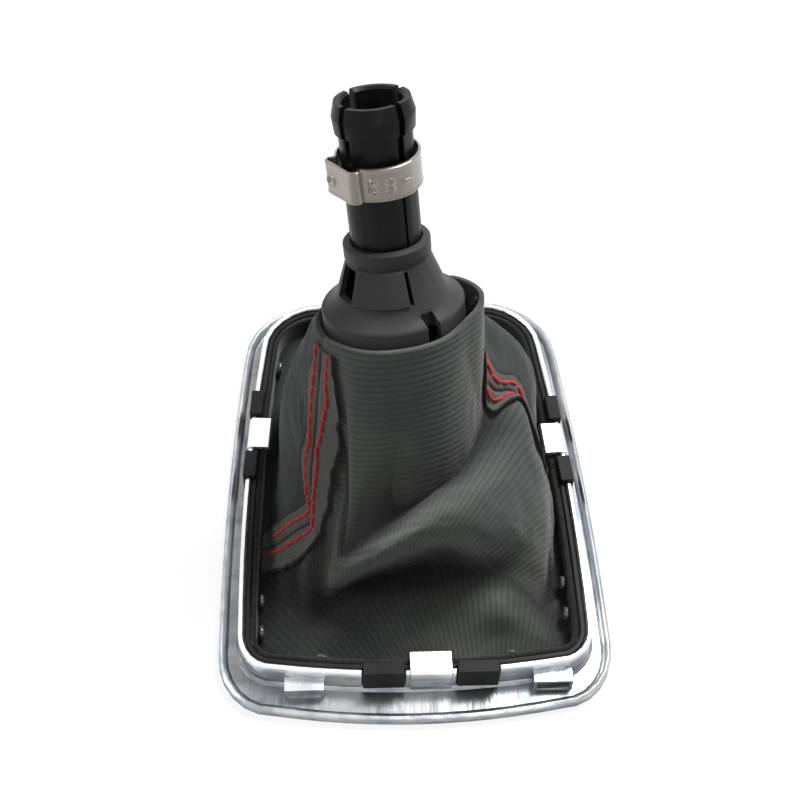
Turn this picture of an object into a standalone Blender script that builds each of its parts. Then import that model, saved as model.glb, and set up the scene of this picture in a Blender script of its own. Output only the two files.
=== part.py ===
"""Gear knob with its gaiter turned inside out, lying face down on its trim frame.

Metres, +Z up. The origin is the middle of the frame's outline on the surface it lies on, the near
end is at -Y, and the knob's axis leans to the left and away from the near end.
"""

import math

import bmesh
import bpy
import numpy as np
from mathutils import Matrix, Vector

MM = 0.001
GAP = 0.3 * MM

# Trim frame: outline on the surface
FRAME_LENGTH = 165.2 * MM
FRAME_NEAR_WIDTH = 115.0 * MM
FRAME_FAR_WIDTH = 104.4 * MM
FRAME_NEAR_CORNER = 16.0 * MM
FRAME_FAR_CORNER = 24.0 * MM
FRAME_NEAR_BOW = 7.2 * MM
FRAME_FAR_BOW = 3.8 * MM
FRAME_SIDE_BOW = 2.9 * MM

# Trim frame: section
FRAME_EDGE = 0.5 * MM
RIM_HEIGHT = 4.2 * MM
RIM_THICKNESS = 1.9 * MM
CHANNEL_FLOOR = 2.0 * MM
CHANNEL_SIDE_WIDTH = 6.1 * MM
CHANNEL_NEAR_WIDTH = 10.7 * MM
CHANNEL_FAR_WIDTH = 7.2 * MM
WALL_HEIGHT = 11.0 * MM
WALL_THICKNESS = 1.7 * MM
WALL_NEAR_CORNER = 10.0 * MM
WALL_FAR_CORNER = 18.0 * MM
WALL_NEAR_BOW = 4.6 * MM

# Tabs that bend over the carrier, and sockets in the near channel
TAB_WIDTH = 12.0 * MM
TAB_REACH = 7.0 * MM
TAB_THICKNESS = 1.5 * MM
TAB_STEP = 0.4 * MM
NEAR_TAB_X = 3.8 * MM
LEFT_TAB_Y = 16.3 * MM
RIGHT_TAB_Y = 11.9 * MM
SOCKET_WIDTH = 11.4 * MM
SOCKET_DEPTH = 4.0 * MM
SOCKET_HEIGHT = 6.8 * MM
SOCKET_WALL = 1.0 * MM
LEFT_SOCKET_RECESS = 0.6 * MM
NOTCH_REACH = 3.0 * MM
LEFT_SOCKET_X = -32.6 * MM
RIGHT_SOCKET_X = 39.2 * MM

# Carrier ring and its hook blocks
CARRIER_THICKNESS = 1.6 * MM
CARRIER_HEIGHT = 10.2 * MM
CARRIER_FOOT = 0.8 * MM
HOOK_HEIGHT = 12.3 * MM
HOOK_NEAR_WIDTH = 12.0 * MM
HOOK_SIDE_WIDTH = 10.0 * MM
HOOK_TAB_SPACE = 1.6 * MM
HOOK_LIP = 0.7 * MM
HOOK_SEAT = 4.0 * MM
HOOK_EDGE = 0.25 * MM
CARRIER_EDGE = 0.3 * MM

# Gaiter cloth and stitching
CLOTH_THICKNESS = 1.4 * MM
ALLOWANCE_WIDTH = 6.0 * MM
ALLOWANCE_THICKNESS = 0.9 * MM
SEAM_GAP = 0.5 * MM
HEM_TOP = 9.6 * MM
HEM_FOOT = 3.0 * MM
HEM_FLOOR = 2.2 * MM
NECK_TOP = -4.0 * MM
FAR_BULGE = 0.06
THREAD_RADIUS = 0.4 * MM
THREAD_SPREAD = 2.6 * MM
THREAD_LIFT = ALLOWANCE_THICKNESS + THREAD_RADIUS + 2.5 * GAP
STUD_RADIUS = 2.1 * MM
STUD_HEIGHT = 1.2 * MM
STUD_SEAT = 0.95 * MM
TIE_RADIUS = 0.5 * MM
TIE_HEIGHT = -5.6 * MM
TIE_GROOVE_DEPTH = 1.2 * MM
TIE_TAIL_ANGLE = -12.0
TIE_TAIL_REACH = (0.6, 1.0, 1.3, 2.2, 3.6)
TIE_TAIL_RISE = (0.3, 1.6, 3.6, 5.6, 7.2)

# How finely the gaiter is divided: rows from neck to hem, and columns across each panel
GAITER_ROWS = 28
ALLOWANCE_ROWS = (1, 24)
PER_COLUMN = 12
NEAR_COLUMNS = 32
FAR_COLUMNS = 24
THREAD_POINTS = 64
THREAD_ENDS = (2, 16)
THREAD_STATIONS = 29
RIGHT_SEAM = 10

# The gaiter's lines from collar to hem, anticlockwise from the left seam. Each has its angle on the
# collar, how far it flares there and rises over the neck, and its folds as (x, y, z) in millimetres,
# for an opening 47 to each side and 140 long under a flange 84.7 high: crease, crest, under the
# crest, hollow, bulge and gutter. A plain line gives only its gutter.
FOLDS_DRAWN_FOR = (47.0, 140.0, 84.7)
PLAIN_REACH = (0.16, 0.32, 0.48, 0.64, 0.82)
GAITER_FOLDS = (
    (-153, 0.4, 0, ((-28.5, -17, 46), (-29.5, -21, 38), (-29.5, -25, 28), (-29, -27.5, 23), (-35, -27, 16),
                    (-43, -24, 4))),
    (-135, 0.3, 0, ((-18.5, -23, 45), (-22, -28, 34), (-26, -33.5, 20), (-32, -39.5, 14), (-35, -41, 7),
                    (-41, -46, 4))),
    (-118, 0.2, 0, ((-20, -39, 25), (-23, -43, 23), (-25, -44, 14), (-26.5, -44, 7), (-32.5, -52, 5),
                    (-38, -60, 3))),
    (-103, 0.2, 0, ((-11.5, -38, 32), (-13.5, -44.5, 33), (-16, -45.5, 24), (-16.5, -42.5, 9), (-19, -54, 8),
                    (-23.5, -64, 3))),
    (-88, 0.2, 0, ((-3, -35, 38), (-4, -43, 41), (-4.5, -44, 35), (-3.5, -41.5, 12), (-4, -55, 9.5),
                   (-5, -65.5, 3))),
    (-70, 0.2, 0, ((6.5, -30.5, 44.5), (6.5, -39.5, 47), (7.5, -42, 41), (9, -42, 15.5), (11, -52.5, 10.5),
                   (14.5, -65.5, 3))),
    (-50, 0.3, 0, ((14, -23, 48), (15.5, -34, 48.5), (18, -41.5, 40), (22, -46.5, 22), (24, -51, 13),
                   (27, -58, 4))),
    (-30, 0.8, 1, ((18.5, -17.5, 50), (23, -25, 47), (29.5, -30, 34), (35, -37.5, 18), (38, -46, 5),
                   (41.5, -56, 3))),
    (-12, 3.2, 2.5, ((22, -12, 51), (28.5, -15.5, 46), (35, -20.5, 33), (40.5, -25.5, 18), (42.5, -33, 6),
                     (44, -37.5, 3))),
    (6, 3.6, 3, ((23, -8.5, 54), (30.5, -4, 50), (35.5, -12, 40), (41.5, -15, 27), (44, -16.5, 17),
                 (44.5, -16, 4.5))),
    (38, 2, 2, ((23, -5, 56), (30.5, 0, 48.5), (35, -5.5, 38), (38.5, -7, 28), (40.5, -3, 18),
                (41, 0.5, 3.5))),
    (62, 0.6, 0, ((23, 20, 62), (31, 20, 54), (36.5, 21.5, 46), (39.5, 23.5, 36), (40.5, 25, 20),
                  (41, 25, 3.5))),
    (86, 0.3, 0, ((38, 44, 3),)),
    (110, 0.2, 0, ((22, 61.5, 3),)),
    (134, 0.2, 0, ((-18, 63, 3),)),
    (158, 0.2, 0, ((-38, 44, 3),)),
    (182, 0.3, 0, ((-31.5, 8, 58), (-34, 10, 50), (-37, 11, 42), (-39, 11, 32), (-41, 10, 18),
                   (-42.5, 8, 3))),
)
STUDS = ((-46, -56), (-47, -45), (-45, 50), (-29, 68), (-9, 69), (9, 69), (29, 68), (45, 50), (47, -41),
         (46, -52), (28, -70), (-28, -70))

# Knob axis: where it leans, and the pieces along it, from the flange's top face
LEAN_LEFT = 5.7
LEAN_AWAY = 17.8
FLANGE_X = -5.7 * MM
FLANGE_Y = 4.7 * MM
KNOB_LENGTH = 83.6 * MM
FLANGE_RADIUS = 20.1 * MM
FLANGE_THICKNESS = 2.0 * MM
SKIRT_HEIGHT = 7.0 * MM
SKIRT_WALL = 1.6 * MM
STEP_RADIUS = 16.4 * MM
STEP_HEIGHT = 2.4 * MM
CONE_FOOT_RADIUS = 15.0 * MM
CONE_TOP_RADIUS = 11.5 * MM
CONE_TOP = 15.4 * MM
CONE_WALL = 1.6 * MM
BAND_RADIUS = 12.0 * MM
BAND_HEIGHT = 4.2 * MM
KEYWAY_ANGLE = -58.0
KEYWAY_WIDTH = 4.0 * MM
WINDOW_ANGLES = (-151.5, 28.5)
WINDOW_WIDTH = 7.4 * MM
SLIT_ANGLE = -69.0
SLIT_WIDTH = 1.2 * MM

# Lever sleeve
SLEEVE_RADIUS = 9.75 * MM
SLEEVE_BORE = 8.0 * MM
SLEEVE_TOP = 58.7 * MM
SLEEVE_DEPTH = 30.0 * MM
LIP_RADIUS = 11.0 * MM
LIP_HEIGHT = 8.5 * MM
FINGER_LENGTH = 15.5 * MM
FINGER_SLOT = 1.9 * MM
FINGER_ANGLES = (-50.0, 40.0, 130.0, -140.0)
SLEEVE_SLIT = 0.7 * MM
SLEEVE_SLIT_TOP = 37.0 * MM
SLEEVE_SLIT_ANGLE = -54.0

# Ear clamp
CLAMP_WIDTH = 9.4 * MM
CLAMP_BAND = 0.7 * MM
CLAMP_CLEARANCE = 0.85 * MM
CLAMP_BASE = 35.2 * MM
CLAMP_TILT = 3.5
EAR_ANGLE = -146.0
EAR_LENGTH = 11.6 * MM
EAR_REACH = 2.4 * MM
EAR_BEND = 0.9 * MM
HOOK_LUG_ANGLES = (-99.0, -77.0)
HOOK_LUG_SIZE = (1.0 * MM, 1.6 * MM)
DASH_LUG_ANGLE = -52.0
DASH_LUG_SIZE = (0.6 * MM, 2.4 * MM)
LUG_REACH = 0.5 * MM

# Knob head, hidden inside the gaiter
HEAD_RADIUS = 20.2 * MM
HEAD_WALL = 1.3 * MM
HEAD_SWELL = 0.74
HEAD_CLOSE = 0.8
NECK_RADIUS = 13.2 * MM
CROWN_RADIUS = 17.0 * MM
CAP_RADIUS = 14.0 * MM
CAP_THICKNESS = 2.0 * MM
BEZEL_HEIGHT = 2.6 * MM
RING_TOP = 9.0 * MM
RING_HEIGHT = 4.0 * MM
RING_REACH = 1.0 * MM
RING_EDGE = 0.5 * MM

# Steps round the knob's pieces, and round its hidden head
AROUND = 40
HEAD_AROUND = 32
COLLECTION_NAME = "gear_knob"


def start_scene():
    """Empty the scene and make one collection for the parts and one for the cutters."""
    for item in list(bpy.data.objects):
        bpy.data.objects.remove(item, do_unlink=True)
    parts = bpy.data.collections.new(COLLECTION_NAME)
    cutters = bpy.data.collections.new("cutters")
    bpy.context.scene.collection.children.link(parts)
    bpy.context.scene.collection.children.link(cutters)
    return parts, cutters


PARTS, CUTTERS = start_scene()


def material(name, colour, roughness, metallic=0.0):
    """One Principled material for one part."""
    result = bpy.data.materials.new(name)
    result.use_nodes = True
    shader = result.node_tree.nodes["Principled BSDF"]
    shader.inputs["Base Color"].default_value = (*colour, 1.0)
    shader.inputs["Roughness"].default_value = roughness
    shader.inputs["Metallic"].default_value = metallic
    return result


def add_object(name, mesh, finish=None, parent=None, smooth_angle=35.0):
    """Put a mesh in the parts collection, with its finish and smooth shading."""
    item = bpy.data.objects.new(name, mesh)
    PARTS.objects.link(item)
    if finish is not None:
        mesh.materials.append(finish)
    if parent is not None:
        item.parent = parent
    mesh.shade_smooth()
    mesh.set_sharp_from_angle(angle=math.radians(smooth_angle))
    return item


def add_cutter(name, mesh, parent=None):
    """Keep a mesh as a cutter or a lump to join, out of the model itself."""
    item = bpy.data.objects.new(name, mesh)
    CUTTERS.objects.link(item)
    item.hide_render = True
    item.display_type = "WIRE"
    if parent is not None:
        item.parent = parent
    return item


def combine(item, other, operation):
    """Join or cut one object with another."""
    step = item.modifiers.new(operation.lower(), "BOOLEAN")
    step.operation = operation
    step.solver = "EXACT"
    step.object = other


def box_mesh(name, low, high, turn=0.0, bevel=0.0):
    """A block between two corners, turned about the vertical axis through the origin."""
    size = Vector(high) - Vector(low)
    middle = (Vector(high) + Vector(low)) / 2
    solid = bmesh.new()
    bmesh.ops.create_cube(solid, size=1.0)
    bmesh.ops.transform(solid, matrix=Matrix.Diagonal((*size, 1.0)), verts=solid.verts)
    if bevel:
        bmesh.ops.bevel(solid, geom=solid.edges, offset=bevel, segments=1, affect="EDGES")
    place = Matrix.Rotation(turn, 4, "Z") @ Matrix.Translation(middle)
    bmesh.ops.transform(solid, matrix=place, verts=solid.verts)
    mesh = bpy.data.meshes.new(name)
    solid.to_mesh(mesh)
    solid.free()
    return mesh


def ring_mesh(name, loops):
    """A closed ring lofted through loops of points, each loop running round the ring."""
    rows = len(loops)
    stations = len(loops[0])
    points = np.concatenate([np.asarray(loop) for loop in loops])
    faces = []
    for row in range(rows):
        below = (row + 1) % rows
        for station in range(stations):
            beside = (station + 1) % stations
            faces.append((row * stations + station, row * stations + beside,
                          below * stations + beside, below * stations + station))
    mesh = bpy.data.meshes.new(name)
    mesh.from_pydata(points.tolist(), [], faces)
    return outward(mesh)


def outward(mesh):
    """Turn every face of a closed mesh to point out."""
    solid = bmesh.new()
    solid.from_mesh(mesh)
    bmesh.ops.recalc_face_normals(solid, faces=solid.faces)
    solid.to_mesh(mesh)
    solid.free()
    return mesh


def tube_mesh(name, points, radius):
    """A round wire along a path, with its ends closed, as a welded mesh."""
    curve = bpy.data.curves.new(name, "CURVE")
    curve.dimensions = "3D"
    curve.bevel_depth = radius
    curve.bevel_resolution = 2
    curve.use_fill_caps = True
    spline = curve.splines.new("POLY")
    spline.points.add(len(points) - 1)
    for target, point in zip(spline.points, points):
        target.co = (*point, 1.0)
    holder = bpy.data.objects.new(name + "_path", curve)
    PARTS.objects.link(holder)
    bpy.context.view_layer.update()
    mesh = bpy.data.meshes.new_from_object(holder.evaluated_get(bpy.context.evaluated_depsgraph_get()))
    bpy.data.objects.remove(holder, do_unlink=True)
    solid = bmesh.new()
    solid.from_mesh(mesh)
    bmesh.ops.remove_doubles(solid, verts=solid.verts, dist=1e-6)
    bmesh.ops.recalc_face_normals(solid, faces=solid.faces)
    solid.to_mesh(mesh)
    solid.free()
    return mesh


def frame_outline(near_half, far_half, near_y, far_y, near_corner, far_corner, bows):
    """A rounded, tapered outline, anticlockwise from the middle of the near end.

    The near and far ends are parabolas, the sides bulge as a parabola, and each corner is a quarter
    of an ellipse between them.
    """
    near_bow, far_bow, side_bow = bows
    share = np.linspace(0.0, 1.0, 7)
    turn = np.linspace(0.0, math.pi / 2, 7)[1:-1]
    near_x = (near_half - near_corner) * share
    near = np.column_stack([near_x, near_y + near_bow * (near_x / near_half) ** 2])
    side_y = np.linspace(near_y + near_bow + near_corner, far_y - far_bow - far_corner, 10)
    along = (side_y - near_y) / (far_y - near_y)
    side_x = near_half + (far_half - near_half) * along + side_bow * 4 * along * (1 - along)
    side = np.column_stack([side_x, side_y])
    far_x = (far_half - far_corner) * share[::-1]
    far = np.column_stack([far_x, far_y - far_bow * (far_x / far_half) ** 2])
    near_turn = near[-1] + (side[0] - near[-1]) * np.column_stack([np.sin(turn), 1 - np.cos(turn)])
    far_turn = side[-1] + (far[0] - side[-1]) * np.column_stack([1 - np.cos(turn), np.sin(turn)])
    right = np.concatenate([near, near_turn, side, far_turn, far])
    left = right[-2:0:-1] * (-1.0, 1.0)
    return np.concatenate([right, left])


def inset(outline, distance):
    """Move a closed anticlockwise outline inward, square to itself."""
    run = np.roll(outline, -1, axis=0) - np.roll(outline, 1, axis=0)
    inward = np.column_stack([-run[:, 1], run[:, 0]])
    inward /= np.linalg.norm(inward, axis=1)[:, None]
    return outline + inward * distance


def at_height(outline, height):
    """Give a flat outline one height."""
    return np.column_stack([outline, np.full(len(outline), height)])


FRAME_BOWS = (FRAME_NEAR_BOW, FRAME_FAR_BOW, FRAME_SIDE_BOW)
OUTER = frame_outline(FRAME_NEAR_WIDTH / 2, FRAME_FAR_WIDTH / 2, -FRAME_LENGTH / 2, FRAME_LENGTH / 2,
                      FRAME_NEAR_CORNER, FRAME_FAR_CORNER, FRAME_BOWS)
WALL_NEAR_Y = -FRAME_LENGTH / 2 + CHANNEL_NEAR_WIDTH
WALL_FAR_Y = FRAME_LENGTH / 2 - CHANNEL_FAR_WIDTH
WALL_BOWS = (WALL_NEAR_BOW, FRAME_FAR_BOW, FRAME_SIDE_BOW)
WALL = frame_outline(FRAME_NEAR_WIDTH / 2 - CHANNEL_SIDE_WIDTH, FRAME_FAR_WIDTH / 2 - CHANNEL_SIDE_WIDTH,
                     WALL_NEAR_Y, WALL_FAR_Y, WALL_NEAR_CORNER, WALL_FAR_CORNER, WALL_BOWS)
CARRIER_OUTER_INSET = WALL_THICKNESS + GAP
CARRIER_INNER_INSET = CARRIER_OUTER_INSET + CARRIER_THICKNESS
CARRIER_INNER = inset(WALL, CARRIER_INNER_INSET)


def wall_x(side, y):
    """Where the frame's inner wall runs on the left (-1) or right (+1) at one place along it."""
    branch = WALL[WALL[:, 0] * side > 0.6 * abs(WALL[:, 0]).max()]
    order = np.argsort(branch[:, 1])
    return float(np.interp(y, branch[order, 1], branch[order, 0]))


def place_on_wall(where):
    """A frame on the wall: its point, the way inward and the way along, for each named place."""
    side, along = where
    if side == "near":
        bow = WALL_NEAR_BOW * (along / (FRAME_NEAR_WIDTH / 2 - CHANNEL_SIDE_WIDTH)) ** 2
        return Vector((along, WALL_NEAR_Y + bow, 0.0)), 0.0
    if side == "far":
        return Vector((along, WALL_FAR_Y, 0.0)), math.pi
    sign = 1.0 if side == "right" else -1.0
    x = wall_x(sign, along)
    slope = (wall_x(sign, along + 5 * MM) - wall_x(sign, along - 5 * MM)) / (10 * MM)
    return Vector((x, along, 0.0)), sign * math.pi / 2 - math.atan(slope)


def wall_block(name, where, across, depth, heights, bevel=0.0):
    """A block on the wall: its span along the wall, its span inward from it and its heights."""
    point, turn = place_on_wall(where)
    mesh = box_mesh(name, (across[0], depth[0], heights[0]), (across[1], depth[1], heights[1]), 0.0, bevel)
    mesh.transform(Matrix.Translation(point) @ Matrix.Rotation(turn, 4, "Z"))
    return mesh


def wall_prism(name, where, across, section):
    """A prism on the wall: its span along the wall and its section as (inward, height) points."""
    point, turn = place_on_wall(where)
    solid = bmesh.new()
    base = solid.faces.new([solid.verts.new((across[0], inward, height)) for inward, height in section])
    grown = bmesh.ops.extrude_face_region(solid, geom=[base])
    moved = [item for item in grown["geom"] if isinstance(item, bmesh.types.BMVert)]
    bmesh.ops.translate(solid, vec=(across[1] - across[0], 0, 0), verts=moved)
    bmesh.ops.recalc_face_normals(solid, faces=solid.faces)
    place = Matrix.Translation(point) @ Matrix.Rotation(turn, 4, "Z")
    bmesh.ops.transform(solid, matrix=place, verts=solid.verts)
    mesh = bpy.data.meshes.new(name)
    solid.to_mesh(mesh)
    solid.free()
    return mesh


TABS = (("near", NEAR_TAB_X), ("right", RIGHT_TAB_Y), ("far", NEAR_TAB_X), ("left", LEFT_TAB_Y))


def hook_spans(where):
    """The two stretches of wall beside a tab where the carrier's hook blocks sit."""
    width = HOOK_NEAR_WIDTH if where[0] in ("near", "far") else HOOK_SIDE_WIDTH
    start = TAB_WIDTH / 2 + HOOK_TAB_SPACE
    return ((-start - width, -start), (start, start + width))


def make_trim_frame():
    """The plated frame: face, rim, channel and inner wall as one lofted section, with its tabs."""
    corner = FRAME_EDGE
    loops = [
        at_height(inset(OUTER, corner), 0.0),
        at_height(OUTER, 2 * corner),
        at_height(inset(OUTER, 0.4 * corner), RIM_HEIGHT - corner),
        at_height(inset(OUTER, 2 * corner), RIM_HEIGHT),
        at_height(inset(OUTER, RIM_THICKNESS), RIM_HEIGHT - corner),
        at_height(inset(OUTER, RIM_THICKNESS + corner), CHANNEL_FLOOR + corner),
        at_height(inset(OUTER, RIM_THICKNESS + 2 * corner), CHANNEL_FLOOR),
        at_height(inset(WALL, -2 * corner), CHANNEL_FLOOR),
        at_height(WALL, CHANNEL_FLOOR + 2 * corner),
        at_height(WALL, WALL_HEIGHT - corner),
        at_height(inset(WALL, corner), WALL_HEIGHT),
        at_height(inset(WALL, WALL_THICKNESS - corner), WALL_HEIGHT),
        at_height(inset(WALL, WALL_THICKNESS), WALL_HEIGHT - corner),
        at_height(inset(WALL, WALL_THICKNESS), corner),
        at_height(inset(WALL, WALL_THICKNESS - corner), 0.0),
    ]
    finish = material("bright_plating", (0.78, 0.79, 0.80), 0.18, 1.0)
    frame = add_object("trim_frame", ring_mesh("trim_frame", loops), finish)
    half = TAB_WIDTH / 2
    tab_base = CARRIER_HEIGHT + GAP
    tab_top = tab_base + TAB_THICKNESS
    tab_section = [
        (-TAB_STEP, CHANNEL_FLOOR - corner),
        (-TAB_STEP, tab_top - 2 * corner),
        (-TAB_STEP + 2 * corner, tab_top),
        (TAB_REACH - corner, tab_top),
        (TAB_REACH, tab_top - corner),
        (TAB_REACH, tab_base),
        (WALL_THICKNESS - 0.5 * corner, tab_base),
        (WALL_THICKNESS - 0.5 * corner, CHANNEL_FLOOR - corner),
    ]
    for where in TABS:
        name = where[0]
        tab = wall_prism(name + "_tab", where, (-half, half), tab_section)
        combine(frame, add_cutter(name + "_tab", tab), "UNION")
        for number, span in enumerate(hook_spans(where)):
            notch = wall_block(f"{name}_notch_{number}", where, (span[0] - GAP, span[1] + GAP),
                               (-NOTCH_REACH, NOTCH_REACH), (HOOK_SEAT - GAP, HOOK_HEIGHT))
            combine(frame, add_cutter(f"{name}_notch_{number}", notch), "DIFFERENCE")
    for name, x in (("left", LEFT_SOCKET_X), ("right", RIGHT_SOCKET_X)):
        half_socket = SOCKET_WIDTH / 2
        block = wall_block(name + "_socket", ("near", x), (-half_socket, half_socket),
                           (-SOCKET_DEPTH, corner), (CHANNEL_FLOOR - corner, SOCKET_HEIGHT))
        combine(frame, add_cutter(name + "_socket", block), "UNION")
        inner = half_socket - SOCKET_WALL
        depth = -SOCKET_WALL if name == "right" else -SOCKET_DEPTH + LEFT_SOCKET_RECESS
        mouth = wall_block(name + "_socket_mouth", ("near", x), (-inner, inner),
                           (-SOCKET_DEPTH - corner, depth),
                           (CHANNEL_FLOOR + corner, SOCKET_HEIGHT - SOCKET_WALL))
        combine(frame, add_cutter(name + "_socket_mouth", mouth), "DIFFERENCE")
    return frame


def make_carrier():
    """The black ring inside the wall, with two hook blocks over the wall beside each tab."""
    outer = inset(WALL, CARRIER_OUTER_INSET)
    loops = [
        at_height(outer, CARRIER_FOOT),
        at_height(outer, CARRIER_HEIGHT - CARRIER_EDGE),
        at_height(inset(outer, CARRIER_EDGE), CARRIER_HEIGHT),
        at_height(inset(CARRIER_INNER, -CARRIER_EDGE), CARRIER_HEIGHT),
        at_height(CARRIER_INNER, CARRIER_HEIGHT - CARRIER_EDGE),
        at_height(CARRIER_INNER, CARRIER_FOOT),
    ]
    finish = material("black_moulding", (0.03, 0.03, 0.032), 0.55)
    carrier = add_object("gaiter_carrier", ring_mesh("gaiter_carrier", loops), finish)
    inner = CARRIER_INNER_INSET - 0.5 * CARRIER_EDGE
    for where in TABS:
        for number, span in enumerate(hook_spans(where)):
            name = f"{where[0]}_hook_{number}"
            block = wall_block(name, where, span, (-HOOK_LIP, inner), (HOOK_SEAT, HOOK_HEIGHT), HOOK_EDGE)
            combine(carrier, add_cutter(name, block), "UNION")
    return carrier


def lever_axis():
    """An empty on the flange's top face whose Z runs up the sleeve.

    The knob's crown rests on the surface, so the flange's height follows from the knob's length.
    """
    lean = Vector((-math.tan(math.radians(LEAN_LEFT)), math.tan(math.radians(LEAN_AWAY)), 1.0)).normalized()
    tilt = math.sqrt(1.0 - lean.z ** 2)
    height = lean.z * KNOB_LENGTH + tilt * CROWN_RADIUS
    across = (Vector((1, 0, 0)) - lean * lean.x).normalized()
    back = lean.cross(across)
    turn = Matrix((across, back, lean)).transposed().to_4x4()
    empty = bpy.data.objects.new("lever_axis", None)
    PARTS.objects.link(empty)
    empty.matrix_world = Matrix.Translation((FLANGE_X, FLANGE_Y, height)) @ turn
    return empty


AXIS = lever_axis()
TO_WORLD = np.array(AXIS.matrix_world)


def from_axis(radius, angle, height):
    """World places of points given round the knob's axis: radius, angle in degrees and height."""
    radius, angle, height = np.broadcast_arrays(radius, np.radians(angle), height)
    local = np.stack([radius * np.cos(angle), radius * np.sin(angle), height, np.ones(radius.shape)], -1)
    return (local @ TO_WORLD.T)[..., :3]


def turned(name, profile, finish=None, steps=AROUND):
    """Turn a profile of (radius, height) points round the knob's axis.

    A profile that starts and ends off the axis is closed into a ring.
    """
    mesh = bpy.data.meshes.new(name)
    edges = [(first, first + 1) for first in range(len(profile) - 1)]
    if profile[0][0] > 0.0:
        edges.append((len(profile) - 1, 0))
    mesh.from_pydata([(radius, 0.0, height) for radius, height in profile], edges, [])
    item = add_object(name, mesh, finish, AXIS)
    turn = item.modifiers.new("turn", "SCREW")
    turn.axis = "Z"
    turn.steps = steps
    turn.render_steps = steps
    turn.use_merge_vertices = True
    turn.merge_threshold = 1e-5
    turn.use_smooth_shade = True
    return item


def axis_cutter(name, low, high, angle, bevel=0.0):
    """A block on the knob's axis whose X runs out along an angle in degrees."""
    return add_cutter(name, box_mesh(name, low, high, math.radians(angle), bevel), AXIS)


def make_collar():
    """The black collar: slotted flange and skirt, a step, and a windowed cone with a top band."""
    bore = SLEEVE_RADIUS + GAP
    top = CONE_TOP + BAND_HEIGHT
    edge = 0.6 * MM
    cone_foot = STEP_HEIGHT + 2.6 * MM
    tie_floor = FLANGE_RADIUS - TIE_GROOVE_DEPTH
    profile = [
        (bore, top),
        (BAND_RADIUS - edge, top),
        (BAND_RADIUS, top - edge),
        (BAND_RADIUS, CONE_TOP),
        (CONE_TOP_RADIUS, CONE_TOP - edge),
        (CONE_FOOT_RADIUS, cone_foot),
        (CONE_FOOT_RADIUS + edge, cone_foot - 2 * edge),
        (STEP_RADIUS, STEP_HEIGHT),
        (FLANGE_RADIUS - 2 * edge, edge),
        (FLANGE_RADIUS - 0.5 * edge, 0.5 * edge),
        (FLANGE_RADIUS, -0.5 * edge),
        (FLANGE_RADIUS, TIE_HEIGHT + TIE_RADIUS + GAP),
        (tie_floor, TIE_HEIGHT + TIE_RADIUS + GAP),
        (tie_floor, TIE_HEIGHT - TIE_RADIUS - GAP),
        (FLANGE_RADIUS - 0.5 * edge, TIE_HEIGHT - TIE_RADIUS - GAP),
        (FLANGE_RADIUS - 0.5 * edge, -SKIRT_HEIGHT),
        (FLANGE_RADIUS - SKIRT_WALL, -SKIRT_HEIGHT),
        (FLANGE_RADIUS - SKIRT_WALL, -FLANGE_THICKNESS),
        (CONE_FOOT_RADIUS - CONE_WALL, -FLANGE_THICKNESS),
        (CONE_FOOT_RADIUS - CONE_WALL, cone_foot - edge),
        (bore, CONE_TOP - CONE_WALL),
    ]
    finish = material("black_nylon", (0.035, 0.035, 0.037), 0.6)
    collar = turned("gaiter_collar", profile, finish)
    half = KEYWAY_WIDTH / 2
    combine(collar, axis_cutter("keyway", (STEP_RADIUS - edge, -half, -SKIRT_HEIGHT - edge),
                                (FLANGE_RADIUS + edge, half, STEP_HEIGHT), KEYWAY_ANGLE), "DIFFERENCE")
    window_top = CONE_TOP - CONE_WALL
    openings = [(angle, WINDOW_WIDTH) for angle in WINDOW_ANGLES] + [(SLIT_ANGLE, SLIT_WIDTH)]
    for number, (angle, width) in enumerate(openings):
        cutter = axis_cutter(f"cone_window_{number}", (bore - edge, -width / 2, cone_foot),
                             (CONE_FOOT_RADIUS + edge, width / 2, window_top), angle)
        combine(collar, cutter, "DIFFERENCE")
    return collar


def make_sleeve():
    """The split sleeve that pushes onto the lever, with four lipped fingers at its top."""
    lip_foot = SLEEVE_TOP - LIP_HEIGHT
    edge = 0.7 * MM
    profile = [
        (SLEEVE_BORE + edge, SLEEVE_TOP),
        (LIP_RADIUS - 1.4 * edge, SLEEVE_TOP),
        (LIP_RADIUS, lip_foot + 0.55 * LIP_HEIGHT),
        (LIP_RADIUS - 0.5 * edge, lip_foot + 0.6 * edge),
        (SLEEVE_RADIUS, lip_foot),
        (SLEEVE_RADIUS, -SLEEVE_DEPTH),
        (SLEEVE_BORE, -SLEEVE_DEPTH),
        (SLEEVE_BORE, SLEEVE_TOP - edge),
    ]
    sleeve = turned("lever_sleeve", profile, material("black_sleeve", (0.025, 0.025, 0.027), 0.45))
    reach = LIP_RADIUS + edge
    half = FINGER_SLOT / 2
    for number, angle in enumerate(FINGER_ANGLES):
        slot = axis_cutter(f"finger_slot_{number}", (0.5 * SLEEVE_BORE, -half, SLEEVE_TOP - FINGER_LENGTH),
                           (reach, half, SLEEVE_TOP + edge), angle)
        combine(sleeve, slot, "DIFFERENCE")
    slit = axis_cutter("sleeve_slit", (0.5 * SLEEVE_BORE, -SLEEVE_SLIT / 2, -SLEEVE_DEPTH - edge),
                       (reach, SLEEVE_SLIT / 2, SLEEVE_SLIT_TOP), SLEEVE_SLIT_ANGLE)
    combine(sleeve, slit, "DIFFERENCE")
    return sleeve


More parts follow.
